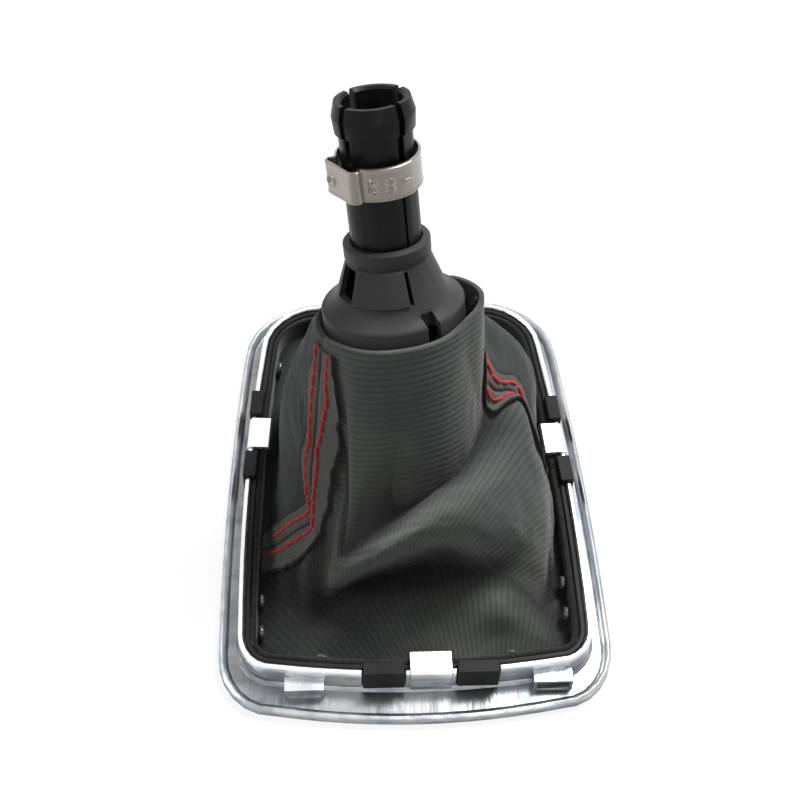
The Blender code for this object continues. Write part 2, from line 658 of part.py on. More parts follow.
def clamp_path():
    """The clamp's inner outline: a circle that opens into a flat-topped ear."""
    inner = SLEEVE_RADIUS + CLAMP_CLEARANCE
    foot = math.asin((EAR_LENGTH / 2 - EAR_BEND) / inner)
    middle = math.radians(EAR_ANGLE)
    turn = np.linspace(foot, math.tau - foot, AROUND)
    circle = inner * np.column_stack([np.cos(turn), np.sin(turn)])
    half = EAR_LENGTH / 2
    top = inner + EAR_REACH - CLAMP_BAND
    ear = np.array([(top - EAR_BEND, -half), (top, -half + EAR_BEND),
                    (top, half - EAR_BEND), (top - EAR_BEND, half)])
    outline = np.concatenate([circle, ear])
    spin = np.array([[math.cos(middle), math.sin(middle)], [-math.sin(middle), math.cos(middle)]])
    return outline @ spin


def make_clamp():
    """The stainless ear clamp: a bent band, leaning on the sleeve, with its hooks."""
    outline = clamp_path()
    count = len(outline)
    low = at_height(outline, -CLAMP_WIDTH / 2)
    high = at_height(outline, CLAMP_WIDTH / 2)
    faces = [(first, (first + 1) % count, (first + 1) % count + count, first + count)
             for first in range(count)]
    mesh = bpy.data.meshes.new("ear_clamp")
    mesh.from_pydata(np.concatenate([low, high]).tolist(), [], faces)
    clamp = add_object("ear_clamp", mesh, material("stainless_band", (0.62, 0.60, 0.56), 0.3, 1.0), AXIS)
    band = clamp.modifiers.new("band", "SOLIDIFY")
    band.thickness = CLAMP_BAND
    band.offset = 1.0
    band.use_even_offset = True
    radius = SLEEVE_RADIUS + CLAMP_CLEARANCE + CLAMP_BAND
    lugs = [(angle, *HOOK_LUG_SIZE) for angle in HOOK_LUG_ANGLES]
    lugs.append((DASH_LUG_ANGLE, *DASH_LUG_SIZE))
    for number, (angle, wide, tall) in enumerate(lugs):
        name = f"clamp_lug_{number}"
        lug = box_mesh(name, (radius - 0.5 * CLAMP_BAND, -wide, -tall), (radius + LUG_REACH, wide, tall),
                       math.radians(angle))
        combine(clamp, add_cutter(name, lug, clamp), "UNION")
    lean = math.radians(CLAMP_TILT)
    shift = CLAMP_CLEARANCE - GAP - CLAMP_WIDTH / 2 * math.sin(lean)
    clamp.location = (0.0, -shift, CLAMP_BASE + CLAMP_WIDTH / 2)
    clamp.rotation_euler = (lean, 0.0, 0.0)
    return clamp


def head_profile():
    """The knob head's outer side as (radius, height), from the neck ring down to the crown ring."""
    top = -RING_TOP - RING_HEIGHT - GAP
    foot = -KNOB_LENGTH + BEZEL_HEIGHT + GAP
    share = np.linspace(0.0, 1.0, 13)
    swell = np.sin(math.pi * np.clip(share / HEAD_SWELL, 0, 1) / 2) ** 2
    close = HEAD_CLOSE * np.clip((share - HEAD_SWELL) / (1 - HEAD_SWELL), 0, 1) ** 2
    radius = NECK_RADIUS + (HEAD_RADIUS - NECK_RADIUS) * swell - (HEAD_RADIUS - CROWN_RADIUS) * close
    return list(zip(radius.tolist(), (top + (foot - top) * share).tolist()))


def make_knob():
    """The hidden knob: core, leather cover, neck ring, crown ring and cap."""
    side = head_profile()
    top = side[0][1]
    foot = side[-1][1]
    inner = [(radius - HEAD_WALL, height) for radius, height in side]
    leather = material("black_leather", (0.03, 0.03, 0.03), 0.6)
    turned("head_cover", side + inner[::-1], leather, HEAD_AROUND)
    bore = SLEEVE_RADIUS + GAP
    neck = NECK_RADIUS - HEAD_WALL - GAP
    core = [(0.0, -SLEEVE_DEPTH - GAP), (bore, -SLEEVE_DEPTH - GAP), (bore, STEP_HEIGHT),
            (neck, STEP_HEIGHT), (neck, top + RING_REACH)]
    core += [(radius - GAP, height) for radius, height in inner[1:]]
    core += [(0.0, foot)]
    turned("knob_core", core, material("core_moulding", (0.05, 0.05, 0.05), 0.6), HEAD_AROUND)
    ring_low = -RING_TOP - RING_HEIGHT
    ring_radius = NECK_RADIUS + RING_REACH
    ring = [(neck + GAP, -RING_TOP), (ring_radius - RING_EDGE, -RING_TOP),
            (ring_radius, -RING_TOP - RING_EDGE), (ring_radius, ring_low), (neck + GAP, ring_low)]
    turned("neck_ring", ring, material("satin_plating", (0.7, 0.7, 0.71), 0.25, 1.0), HEAD_AROUND)
    low = -KNOB_LENGTH
    bezel_top = foot - GAP
    bezel = [(CAP_RADIUS + GAP, bezel_top), (CROWN_RADIUS, bezel_top), (CROWN_RADIUS, low),
             (CAP_RADIUS + GAP, low)]
    turned("cap_bezel", bezel, material("crown_plating", (0.7, 0.7, 0.71), 0.2, 1.0))
    cap = [(0.0, bezel_top), (CAP_RADIUS, bezel_top), (CAP_RADIUS, bezel_top - CAP_THICKNESS),
           (0.0, bezel_top - CAP_THICKNESS)]
    turned("shift_cap", cap, material("gloss_cap", (0.02, 0.02, 0.02), 0.15))


def through(points, where, closed=False):
    """A smooth curve through points, read at places counted in points.

    Each stretch is a cubic whose end slopes weigh the chords on either side by the square root of
    their lengths, so that it doesn't swing out where long and short stretches meet.
    """
    count = len(points)
    where = np.asarray(where, float)
    index = np.floor(where).astype(int)
    if not closed:
        index = np.clip(index, 0, count - 2)
        points = np.concatenate([[2 * points[0] - points[1]], points, [2 * points[-1] - points[-2]]])
    share = (where - index).reshape(-1, *([1] * (points.ndim - 1)))
    shift = 0 if closed else 1
    before, start, end, after = (points[(index + offset + shift) % len(points)] for offset in (-1, 0, 1, 2))

    def pace(first, second):
        return np.sqrt(np.maximum(np.linalg.norm(second - first, axis=-1, keepdims=True), 1e-9))

    come, pass_by, leave = pace(before, start), pace(start, end), pace(end, after)
    chord = end - start
    slope_in = chord + pass_by * ((start - before) / come - (end - before) / (come + pass_by))
    slope_out = chord + pass_by * ((after - end) / leave - (after - start) / (pass_by + leave))
    square = 3 * chord - 2 * slope_in - slope_out
    cube = slope_in + slope_out - 2 * chord
    return start + slope_in * share + square * share ** 2 + cube * share ** 3


HEM_LINE = inset(CARRIER_INNER, GAP + CLOTH_THICKNESS)
COLLAR_HEIGHT = float(TO_WORLD[2, 3])
OPENING_HALF = float(abs(HEM_LINE[:, 0]).max())
OPENING_LENGTH = float(np.ptp(HEM_LINE[:, 1]))
FOLD_SCALE = np.array([OPENING_HALF, OPENING_LENGTH, COLLAR_HEIGHT]) / FOLDS_DRAWN_FOR
HEM_RUN = np.roll(HEM_LINE, -1, axis=0) - HEM_LINE
HEM_STATIONS = np.append(0.0, np.cumsum(np.linalg.norm(HEM_RUN, axis=1)))


def hem_length_at(point):
    """How far round the hem line, from its start, the point nearest to a given point lies."""
    share = np.clip(((point - HEM_LINE) * HEM_RUN).sum(1) / (HEM_RUN ** 2).sum(1), 0.0, 1.0)
    spots = HEM_LINE + HEM_RUN * share[:, None]
    best = np.argmin(((spots - point) ** 2).sum(1))
    return HEM_STATIONS[best] + share[best] * np.linalg.norm(HEM_RUN[best])


def hem_point(length):
    """Points at given lengths round the hem line."""
    loop = np.concatenate([HEM_LINE, HEM_LINE[:1]])
    length = np.asarray(length) % HEM_STATIONS[-1]
    return np.stack([np.interp(length, HEM_STATIONS, loop[:, axis]) for axis in range(2)], -1)


def hem_places(cage, places):
    """The hem line at places between the gaiter's lines, evenly from each line to the next."""
    lengths = np.array([hem_length_at(column[-1, :2]) for column in cage])
    lengths = np.unwrap(np.append(lengths, lengths[0]), period=HEM_STATIONS[-1])
    return hem_point(np.interp(places, np.arange(len(lengths)), lengths))


def gaiter_column(angle, flare, rise, folds):
    """One line of the gaiter from collar to hem: ten points.

    The top is on the collar, the next halfway to the crease, then come the folds, and the last two
    are the foot and the top of the hem, on the carrier.
    """
    top = from_axis(FLANGE_RADIUS + GAP + CLOTH_THICKNESS + flare * MM, angle, NECK_TOP + rise * MM)
    points = np.array(folds, float) * FOLD_SCALE
    if len(points) == 1:
        reach = np.array(PLAIN_REACH)[:, None]
        bulge = np.array([0.0, 0.0, FAR_BULGE * COLLAR_HEIGHT])
        points = np.concatenate([top + (points[0] - top) * reach + bulge * np.sin(math.pi * reach), points])
    half_way = (top + points[0]) / 2
    hem = hem_point(hem_length_at(points[-1, :2]))
    foot = np.append(hem, HEM_FOOT)
    edge = np.append(hem, HEM_TOP)
    return np.vstack([top, half_way, points, foot, edge])


def clear_of_knob(points):
    """Push cloth points out of the knob: no nearer its axis than the skirt or the head, and a cloth."""
    local = (points - TO_WORLD[:3, 3]) @ TO_WORLD[:3, :3]
    radius = np.hypot(local[..., 0], local[..., 1])
    head = HEAD_RADIUS + CLOTH_THICKNESS + 2 * GAP
    neck = FLANGE_RADIUS + CLOTH_THICKNESS + GAP
    crown = CROWN_RADIUS + CLOTH_THICKNESS + 2 * GAP
    heights = [-KNOB_LENGTH - 3 * MM, -KNOB_LENGTH, -0.85 * KNOB_LENGTH, -2 * SKIRT_HEIGHT, -SKIRT_HEIGHT]
    least = np.interp(local[..., 2], heights, [0.0, crown, head, head, neck])
    grow = np.maximum(least / np.maximum(radius, 1e-6), 1.0)
    local = np.stack([local[..., 0] * grow, local[..., 1] * grow, local[..., 2]], -1)
    return local @ TO_WORLD[:3, :3].T + TO_WORLD[:3, 3]


def inside_hem(points):
    """Pull cloth points that lie lower than the hooks' tops back inside the hem line."""
    normals = np.column_stack([HEM_RUN[:, 1], -HEM_RUN[:, 0]])
    normals /= np.linalg.norm(normals, axis=1)[:, None]
    past = np.einsum("...k,nk->...n", points[..., :2], normals) - (HEM_LINE * normals).sum(1)
    worst = past.argmax(-1)
    over = np.take_along_axis(past, worst[..., None], -1)[..., 0]
    fade = np.clip((HOOK_HEIGHT + 6 * MM - points[..., 2]) / (4 * MM), 0.0, 1.0)
    pull = np.maximum(over, 0.0) * fade
    moved = points.copy()
    moved[..., :2] -= pull[..., None] * normals[worst]
    moved[..., 2] = np.maximum(moved[..., 2], HEM_FLOOR)
    return moved


def softened(values, along, around):
    """A grid that closes round the knob, averaged with its neighbours a number of times each way."""
    for _ in range(along):
        values = values.copy()
        values[1:-1] = (values[:-2] + 2 * values[1:-1] + values[2:]) / 4
    for _ in range(around):
        values = (np.roll(values, 1, axis=1) + 2 * values + np.roll(values, -1, axis=1)) / 4
    return values


def gaiter_surface(rows, per_column):
    """The whole gaiter's outer face as a grid that closes round the knob, with its normals."""
    cage = np.array([gaiter_column(*column) for column in GAITER_FOLDS])
    places = np.arange(len(cage) * per_column) / per_column
    around = np.swapaxes(through(cage, places, True), 0, 1)
    height = np.linspace(0.0, len(around) - 1.0, rows)
    down = softened(through(around, height), 1, 12)
    near_hem = np.clip((height - len(around) + 4) / 2, 0.0, 1.0)[:, None, None]
    foot = down[np.searchsorted(height, len(around) - 2.0), :, :2]
    down[..., :2] += near_hem * (hem_places(cage, places) - foot)
    grid = inside_hem(clear_of_knob(down))
    across = np.roll(grid, -1, axis=1) - np.roll(grid, 1, axis=1)
    along = np.gradient(grid, axis=0)
    normal = np.cross(along, across)
    normal /= np.maximum(np.linalg.norm(normal, axis=2, keepdims=True), 1e-12)
    normal = softened(normal, 2, 24)
    return grid, normal / np.linalg.norm(normal, axis=2, keepdims=True)


def run_of(grid, normal, first, last, per_column):
    """The stretch of the surface between two seams, with the length along each of its rows."""
    count = len(GAITER_FOLDS) * per_column
    index = np.arange(first * per_column, last * per_column + 1) % count
    part = grid[:, index]
    length = np.zeros(part.shape[:2])
    length[:, 1:] = np.cumsum(np.linalg.norm(np.diff(part, axis=1), axis=2), axis=1)
    return part, normal[:, index], length


def read_row(values, length, where):
    """Values along a row or a path at given lengths."""
    return np.stack([np.interp(where, length, values[:, axis]) for axis in range(3)], -1)


def panel_mesh(name, first, last, columns):
    """One gaiter panel as a closed shell, thicker along the seams where the edge is folded back."""
    grid, normal = gaiter_surface(GAITER_ROWS, PER_COLUMN)
    part, facing, length = run_of(grid, normal, first, last, PER_COLUMN)
    outer = []
    inner = []
    for row in range(GAITER_ROWS):
        total = length[row, -1]
        edge = np.array([SEAM_GAP / 2, 0.5 * ALLOWANCE_WIDTH, ALLOWANCE_WIDTH,
                         ALLOWANCE_WIDTH + ALLOWANCE_THICKNESS])
        middle = np.linspace(edge[-1], total - edge[-1], columns - 6)[1:-1]
        where = np.concatenate([edge, middle, total - edge[::-1]])
        place = read_row(part[row], length[row], where)
        out = read_row(facing[row], length[row], where)
        out /= np.linalg.norm(out, axis=1)[:, None]
        lift = np.zeros(len(where))
        if ALLOWANCE_ROWS[0] <= row <= ALLOWANCE_ROWS[1]:
            lift[:3] = ALLOWANCE_THICKNESS
            lift[-3:] = ALLOWANCE_THICKNESS
        outer.append(place + out * lift[:, None])
        inner.append(place - out * CLOTH_THICKNESS)
    outer = np.array(outer)
    inner = np.array(inner)
    rows, count = outer.shape[:2]
    points = np.concatenate([outer.reshape(-1, 3), inner.reshape(-1, 3)])
    index = np.arange(rows * count).reshape(rows, count)
    quads = np.stack([index[:-1, :-1], index[:-1, 1:], index[1:, 1:], index[1:, :-1]], -1).reshape(-1, 4)
    rim = np.concatenate([index[0, :-1], index[:-1, -1], index[-1, :0:-1], index[:0:-1, 0]])
    beside = np.roll(rim, -1)
    shift = rows * count
    side = np.column_stack([rim, beside, beside + shift, rim + shift])
    faces = np.concatenate([quads, quads[:, ::-1] + shift, side])
    mesh = bpy.data.meshes.new(name)
    mesh.from_pydata(points.tolist(), [], faces.tolist())
    return outward(mesh)


def make_gaiter():
    """The near and far panels, cut at the two seams."""
    knit = material("grey_knit", (0.12, 0.125, 0.115), 0.9)
    near = panel_mesh("gaiter_near_panel", 0, RIGHT_SEAM, NEAR_COLUMNS)
    add_object("gaiter_near_panel", near, knit, None, 80)
    lining = material("grey_lining", (0.10, 0.105, 0.10), 0.9)
    far = panel_mesh("gaiter_far_panel", RIGHT_SEAM, len(GAITER_FOLDS), FAR_COLUMNS)
    add_object("gaiter_far_panel", far, lining, None, 80)


def seam_path(seam, offset):
    """A line on the gaiter beside a seam, clear of the folded edge, from the neck down."""
    grid, normal = gaiter_surface(THREAD_POINTS, PER_COLUMN)
    first = seam if offset > 0 else seam - 3
    part, facing, length = run_of(grid, normal, first, first + 3, PER_COLUMN)
    points = []
    for row in range(THREAD_ENDS[0], THREAD_POINTS - THREAD_ENDS[1]):
        where = offset if offset > 0 else length[row, -1] + offset
        place = read_row(part[row], length[row], [where])[0]
        out = read_row(facing[row], length[row], [where])[0]
        points.append(place + out / np.linalg.norm(out) * THREAD_LIFT)
    return evened(np.array(points), THREAD_STATIONS)


def evened(points, count):
    """A path with its small kinks averaged out, read at equal lengths."""
    points[1:-1] = (points[:-2] + 2 * points[1:-1] + points[2:]) / 4
    length = np.append(0.0, np.cumsum(np.linalg.norm(np.diff(points, axis=0), axis=1)))
    return read_row(points, length, np.linspace(0.0, length[-1], count))


def make_threads():
    """Two rows of red stitching on each seam."""
    for name, seam in (("left", len(GAITER_FOLDS)), ("right", RIGHT_SEAM)):
        for side, offset in (("inner", THREAD_SPREAD), ("outer", -THREAD_SPREAD)):
            label = f"{name}_thread_{side}"
            finish = material(label + "_red", (0.65, 0.06, 0.04), 0.6)
            add_object(label, tube_mesh(label, seam_path(seam, offset), THREAD_RADIUS), finish, None, 80)


def make_tie():
    """The thin tie round the skirt's groove, under the gaiter's neck, with its free tail."""
    turn = TIE_TAIL_ANGLE + np.linspace(10.0, 352.0, AROUND)
    ring = from_axis(FLANGE_RADIUS - TIE_GROOVE_DEPTH + GAP + TIE_RADIUS, turn, TIE_HEIGHT)
    out = FLANGE_RADIUS + np.array(TIE_TAIL_REACH) * MM
    tail = from_axis(out, TIE_TAIL_ANGLE - 3.5, TIE_HEIGHT + np.array(TIE_TAIL_RISE) * MM)
    tie = tube_mesh("neck_tie", np.concatenate([ring, tail]), TIE_RADIUS)
    add_object("neck_tie", tie, material("tie_cord", (0.04, 0.04, 0.04), 0.7))


def make_studs():
    """The rivet heads along the hem."""
    finish = material("stud_heads", (0.05, 0.05, 0.055), 0.4)
    for number, spot in enumerate(STUDS, start=1):
        length = hem_length_at(np.array(spot) * FOLD_SCALE[:2])
        point, ahead, behind = hem_point(length + np.array([0.0, STUD_RADIUS, -STUD_RADIUS]))
        inward = Vector((behind[1] - ahead[1], ahead[0] - behind[0], 0.0)).normalized()
        name = f"gaiter_stud_{number:02d}"
        solid = bmesh.new()
        bmesh.ops.create_cone(solid, cap_ends=True, segments=16, radius1=STUD_RADIUS,
                              radius2=0.7 * STUD_RADIUS, depth=STUD_HEIGHT)
        mesh = bpy.data.meshes.new(name)
        solid.to_mesh(mesh)
        solid.free()
        stud = add_object(name, mesh, finish)
        middle = (HEM_FOOT + HEM_TOP) / 2
        stud.location = Vector((point[0], point[1], middle)) + inward * (STUD_SEAT + STUD_HEIGHT / 2)
        stud.rotation_mode = "QUATERNION"
        stud.rotation_quaternion = inward.to_track_quat("Z", "Y")


make_trim_frame()
make_carrier()
make_gaiter()
make_threads()
make_tie()
make_studs()
make_collar()
make_sleeve()
make_clamp()
make_knob()
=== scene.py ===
"""Looks of a gear knob whose gaiter is turned inside out over its head.

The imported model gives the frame, and this script adds the knitted gaiter with its folds and raw
seams, the stitching, the bent clamp, and the finish of every piece. Lengths are in metres.
"""

import math

import bmesh
import bpy
import numpy as np
from mathutils import Matrix, Vector


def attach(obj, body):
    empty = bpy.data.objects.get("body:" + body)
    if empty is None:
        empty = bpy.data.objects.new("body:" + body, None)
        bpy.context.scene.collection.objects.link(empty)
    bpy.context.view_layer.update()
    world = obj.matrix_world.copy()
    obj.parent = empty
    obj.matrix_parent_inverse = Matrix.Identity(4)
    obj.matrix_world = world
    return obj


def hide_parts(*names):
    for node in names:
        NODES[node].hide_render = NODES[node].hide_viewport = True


bl_info = {
    "name": "Gear knob with gaiter",
    "version": (1, 0, 0),
    "blender": (4, 5, 0),
    "location": "View3D > Sidebar > Gear knob",
    "description": "Dresses a gear knob, its gaiter and its trim frame",
    "category": "Object",
}

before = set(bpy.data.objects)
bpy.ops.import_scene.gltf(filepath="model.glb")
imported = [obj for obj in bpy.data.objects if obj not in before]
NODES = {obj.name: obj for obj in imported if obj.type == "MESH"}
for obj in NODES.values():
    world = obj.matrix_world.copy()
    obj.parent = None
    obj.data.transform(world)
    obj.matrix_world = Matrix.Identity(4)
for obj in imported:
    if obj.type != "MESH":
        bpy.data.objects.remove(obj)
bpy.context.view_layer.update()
MM = 0.001
SMALL = 1e-12

# Knob axis and collar, as the solids have them, with angles in degrees
LEAN_LEFT = 5.7
LEAN_AWAY = 17.8
FLANGE_PLACE = (-5.7 * MM, 4.7 * MM)
KNOB_LENGTH = 83.6 * MM
CROWN_RADIUS = 17.0 * MM
HEAD_RADIUS = 20.2 * MM
FLANGE_RADIUS = 20.1 * MM
SKIRT_HEIGHT = 7.0 * MM
SLEEVE_RADIUS = 9.75 * MM
CONE_FOOT = (5.2 * MM, 15.0 * MM)
CONE_TOP = (14.8 * MM, 11.5 * MM)
GAP = 0.3 * MM


def knob_axis():
    """The matrix of the knob's axis: its origin is on the flange and its Z runs up the sleeve."""
    left, away = math.tan(math.radians(LEAN_LEFT)), math.tan(math.radians(LEAN_AWAY))
    lean = Vector((-left, away, 1.0)).normalized()
    height = lean.z * KNOB_LENGTH + math.sqrt(1.0 - lean.z ** 2) * CROWN_RADIUS
    across = (Vector((1, 0, 0)) - lean * lean.x).normalized()
    turn = Matrix((across, lean.cross(across), lean)).transposed().to_4x4()
    return Matrix.Translation((*FLANGE_PLACE, height)) @ turn


AXIS = np.array(knob_axis())

# Clamp band, its place on the sleeve and its ear, with angles in degrees
CLAMP_WIDTH = 9.4 * MM
CLAMP_BAND = 0.7 * MM
CLAMP_CLEARANCE = 0.85 * MM
CLAMP_BASE = 35.2 * MM
CLAMP_TILT = 3.5
EAR_ANGLE = -146.0
EAR_LENGTH = 11.6 * MM
EAR_REACH = 2.4 * MM

# Gaiter: cloth and seams. The cloth stays inside the hem line up to the hooks' height and a clearance,
# over which that hold fades.
CLOTH = 1.4 * MM
NECK_TOP = -4.0 * MM
FAR_BULGE = 0.06
HEM_TOP = 9.6 * MM
HEM_FOOT = 3.0 * MM
HEM_FLOOR = 2.2 * MM
HOOK_HEIGHT = 12.3 * MM
HOOK_CLEARANCE = 6.0 * MM
HOOK_FADE = 4.0 * MM
RIGHT_SEAM = 10

# Folds: each line from collar to hem has its angle on the collar, how far it flares there and rises
# over the neck, and its folds in millimetres: crease, crest, under the crest, hollow, bulge and gutter.
# A plain line gives only its gutter, and its other points follow shares of the way there. The table is
# made for a hem line of a given half width and length and a flange of a given height.
LAST_STATION = 9
PLAIN_REACH = (0.16, 0.32, 0.48, 0.64, 0.82)
FOLD_FRAME = (47.0, 140.0, 84.7)
GAITER_FOLDS = (
    (-153, 0.4, 0, ((-28.5, -17, 46), (-29.5, -21, 38), (-29.5, -25, 28), (-29, -27.5, 23), (-35, -27, 16),
                    (-43, -24, 4))),
    (-135, 0.3, 0, ((-18.5, -23, 45), (-22, -28, 34), (-26, -33.5, 20), (-32, -39.5, 14), (-35, -41, 7),
                    (-41, -46, 4))),
    (-118, 0.2, 0, ((-20, -39, 25), (-23, -43, 23), (-25, -44, 14), (-26.5, -44, 7), (-32.5, -52, 5),
                    (-38, -60, 3))),
    (-103, 0.2, 0, ((-11.5, -38, 32), (-13.5, -46.5, 32), (-15.5, -47, 25), (-16, -40.5, 10), (-19, -54, 8),
                    (-23.5, -64, 3))),
    (-88, 0.2, 0, ((-3, -34.5, 37), (-4, -46.5, 41.5), (-5, -47.5, 36), (-3.5, -39.5, 14), (-4, -55, 11),
                   (-5, -65.5, 3))),
    (-70, 0.2, 0, ((6, -30, 43), (6.5, -43.5, 48), (7.5, -46.5, 42.5), (9, -39.5, 18), (11, -53, 12.5),
                   (14.5, -65.5, 3))),
    (-50, 0.3, 0, ((13.5, -23, 46), (17, -37.5, 50), (19.5, -45.5, 41), (22, -43.5, 20), (25, -53, 13),
                   (27, -58, 4))),
    (-30, 0.8, 1, ((17.5, -17.5, 48.5), (25, -28.5, 49.5), (32.5, -34, 36), (36, -38.5, 20), (38, -46, 5),
                   (41.5, -56, 3))),
    (-12, 3.2, 2.5, ((20.5, -12, 50), (31, -18, 49), (38, -22.5, 37), (42, -26.5, 20), (42.5, -33, 6),
                     (44, -37.5, 3))),
    (6, 3.6, 3, ((21.5, -7.5, 53), (31.5, -6, 52), (36, -12, 41), (41.5, -15, 27), (44, -16.5, 17),
                 (44.5, -16, 4.5))),
    (38, 2, 2, ((23, -5, 56), (30.5, 0, 48.5), (35, -5.5, 38), (38.5, -7, 28), (40.5, -3, 18),
                (41, 0.5, 3.5))),
    (62, 0.6, 0, ((23, 20, 62), (31, 20, 54), (36.5, 21.5, 46), (39.5, 23.5, 36), (40.5, 25, 20),
                  (41, 25, 3.5))),
    (86, 0.3, 0, ((38, 44, 3),)),
    (110, 0.2, 0, ((22, 61.5, 3),)),
    (134, 0.2, 0, ((-18, 63, 3),)),
    (158, 0.2, 0, ((-38, 44, 3),)),
    (182, 0.3, 0, ((-31.5, 8, 58), (-34, 10, 50), (-37, 11, 42), (-39, 11, 32), (-41, 10, 18),
                   (-42.5, 8, 3))),
)

# The hem's line follows the trim frame's inner wall, which has for each end its half width, place,
# corner size and bow
WALL_NEAR = (51.4 * MM, -71.9 * MM, 10.0 * MM, 4.6 * MM)
WALL_FAR = (46.1 * MM, 75.4 * MM, 18.0 * MM, 3.8 * MM)
WALL_SIDE_BOW = 2.9 * MM
HEM_INSETS = (3.6 * MM, 2.0 * MM)

# Camera: its place, its yaw, pitch and roll in radians, and its lens in millimetres
CAMERA_PLACE = (-17.904 * MM, -247.904 * MM, 345.493 * MM)
CAMERA_TURN = (0.05935, 0.8775, 0.02849)
CAMERA_LENS = 58.5

# Fine grids: rows down the gaiter, columns between its lines and in each panel, and how often the
# surface and its normals are averaged down and round
ROWS = 190
PER_COLUMN = 40
NEAR_COLUMNS = 200
FAR_COLUMNS = 130
CLOTH_SOFTENING = (12, 50)
FACING_SOFTENING = (60, 160)

# Wrinkles: how slack the cloth is by stations, and how far from a seam they reach their full height
SLACK = ((0, 1, 2, 3, 5, 8, 9), (0.1, 0.25, 0.8, 0.7, 1.0, 0.8, 0.0))
WIDE_WRINKLES = (16, 20)
FINE_WRINKLES = (34, 44)
FINE_SHARE = 0.45
SEAM_REACH = 7 * MM

# Copies of the solids: how close corners are welded, and the angles in radians below which faces
# are joined and above which edges are eased
WELD = 1e-6
FLAT_ANGLE = math.radians(0.5)
EASED_ANGLE = math.radians(40)


def wall_outline():
    """The trim frame's inner wall, anticlockwise: parabolas for its ends and sides, and a quarter of an
    ellipse for each corner."""
    near_half, near_y, near_corner, near_bow = WALL_NEAR
    far_half, far_y, far_corner, far_bow = WALL_FAR
    share = np.linspace(0.0, 1.0, 7)
    turn = np.linspace(0.0, math.pi / 2, 7)[1:-1]
    near_x = (near_half - near_corner) * share
    near = np.column_stack([near_x, near_y + near_bow * (near_x / near_half) ** 2])
    side_y = np.linspace(near_y + near_bow + near_corner, far_y - far_bow - far_corner, 10)
    along = (side_y - near_y) / (far_y - near_y)
    side_x = near_half + (far_half - near_half) * along + WALL_SIDE_BOW * 4 * along * (1 - along)
    side = np.column_stack([side_x, side_y])
    far_x = (far_half - far_corner) * share[::-1]
    far = np.column_stack([far_x, far_y - far_bow * (far_x / far_half) ** 2])
    near_turn = near[-1] + (side[0] - near[-1]) * np.column_stack([np.sin(turn), 1 - np.cos(turn)])
    far_turn = side[-1] + (far[0] - side[-1]) * np.column_stack([1 - np.cos(turn), np.sin(turn)])
    right = np.concatenate([near, near_turn, side, far_turn, far])
    return np.concatenate([right, right[-2:0:-1] * (-1.0, 1.0)])


def inset(outline, distance):
    """A closed anticlockwise outline moved inward, square to itself."""
    run = np.roll(outline, -1, axis=0) - np.roll(outline, 1, axis=0)
    return outline + unit(np.column_stack([-run[:, 1], run[:, 0]])) * distance


def unit(vectors):
    """Vectors at length one."""
    return vectors / np.maximum(np.linalg.norm(vectors, axis=-1, keepdims=True), SMALL)


def run_length(points, axis=0):
    """How far along one axis of a grid or line of points each point lies."""
    steps = np.linalg.norm(np.diff(points, axis=axis), axis=-1)
    return np.insert(np.cumsum(steps, axis=axis), 0, 0.0, axis=axis)


def read_line(points, length, where):
    """Points of a line, read at given lengths along it."""
    return np.stack([np.interp(where, length, values) for values in points.T], -1)


def paired(first, second):
    """Two arrays as the last axis of one, each spread over the other."""
    return np.stack(np.broadcast_arrays(first, second), -1)


HEM_LINE = inset(inset(wall_outline(), HEM_INSETS[0]), HEM_INSETS[1] - GAP)
HEM_LOOP = np.concatenate([HEM_LINE, HEM_LINE[:1]])
HEM_RUN = np.diff(HEM_LOOP, axis=0)
HEM_STATIONS = run_length(HEM_LOOP)
FOLD_SCALE = np.array([abs(HEM_LINE[:, 0]).max(), np.ptp(HEM_LINE[:, 1]), AXIS[2, 3]]) / FOLD_FRAME


def hem_length_at(point):
    """How far round the hem line the point nearest to a given point lies."""
    share = np.clip(((point - HEM_LINE) * HEM_RUN).sum(1) / (HEM_RUN ** 2).sum(1), 0.0, 1.0)
    spots = HEM_LINE + HEM_RUN * share[:, None]
    best = np.argmin(((spots - point) ** 2).sum(1))
    return HEM_STATIONS[best] + share[best] * np.linalg.norm(HEM_RUN[best])


def hem_point(length):
    """Points at given lengths round the hem line."""
    return read_line(HEM_LOOP, HEM_STATIONS, np.asarray(length) % HEM_STATIONS[-1])


def from_axis(radius, angle, height):
    """World places of points given round the knob's axis: radius, angle in degrees and height."""
    radius, angle, height = np.broadcast_arrays(radius, np.radians(angle), height)
    local = np.stack([radius * np.cos(angle), radius * np.sin(angle), height, np.ones(radius.shape)], -1)
    return (local @ AXIS.T)[..., :3]


def through(points, where, closed=False):
    """A smooth curve through points, read at places counted in points.

    Each stretch is a cubic whose end slopes weigh the chords on either side by the square root of
    their lengths.
    """
    count = len(points)
    where = np.asarray(where, float)
    index = np.floor(where).astype(int)
    if not closed:
        index = np.clip(index, 0, count - 2)
        points = np.concatenate([[2 * points[0] - points[1]], points, [2 * points[-1] - points[-2]]])
    share = (where - index).reshape(-1, *([1] * (points.ndim - 1)))
    shift = 0 if closed else 1
    before, start, end, after = (points[(index + offset + shift) % len(points)]
                                 for offset in (-1, 0, 1, 2))

    def pace(first, second):
        return np.sqrt(np.maximum(np.linalg.norm(second - first, axis=-1, keepdims=True), SMALL))

    come, pass_by, leave = pace(before, start), pace(start, end), pace(end, after)
    chord = end - start
    slope_in = chord + pass_by * ((start - before) / come - (end - before) / (come + pass_by))
    slope_out = chord + pass_by * ((after - end) / leave - (after - start) / (pass_by + leave))
    square = 3 * chord - 2 * slope_in - slope_out
    cube = slope_in + slope_out - 2 * chord
    return start + slope_in * share + square * share ** 2 + cube * share ** 3


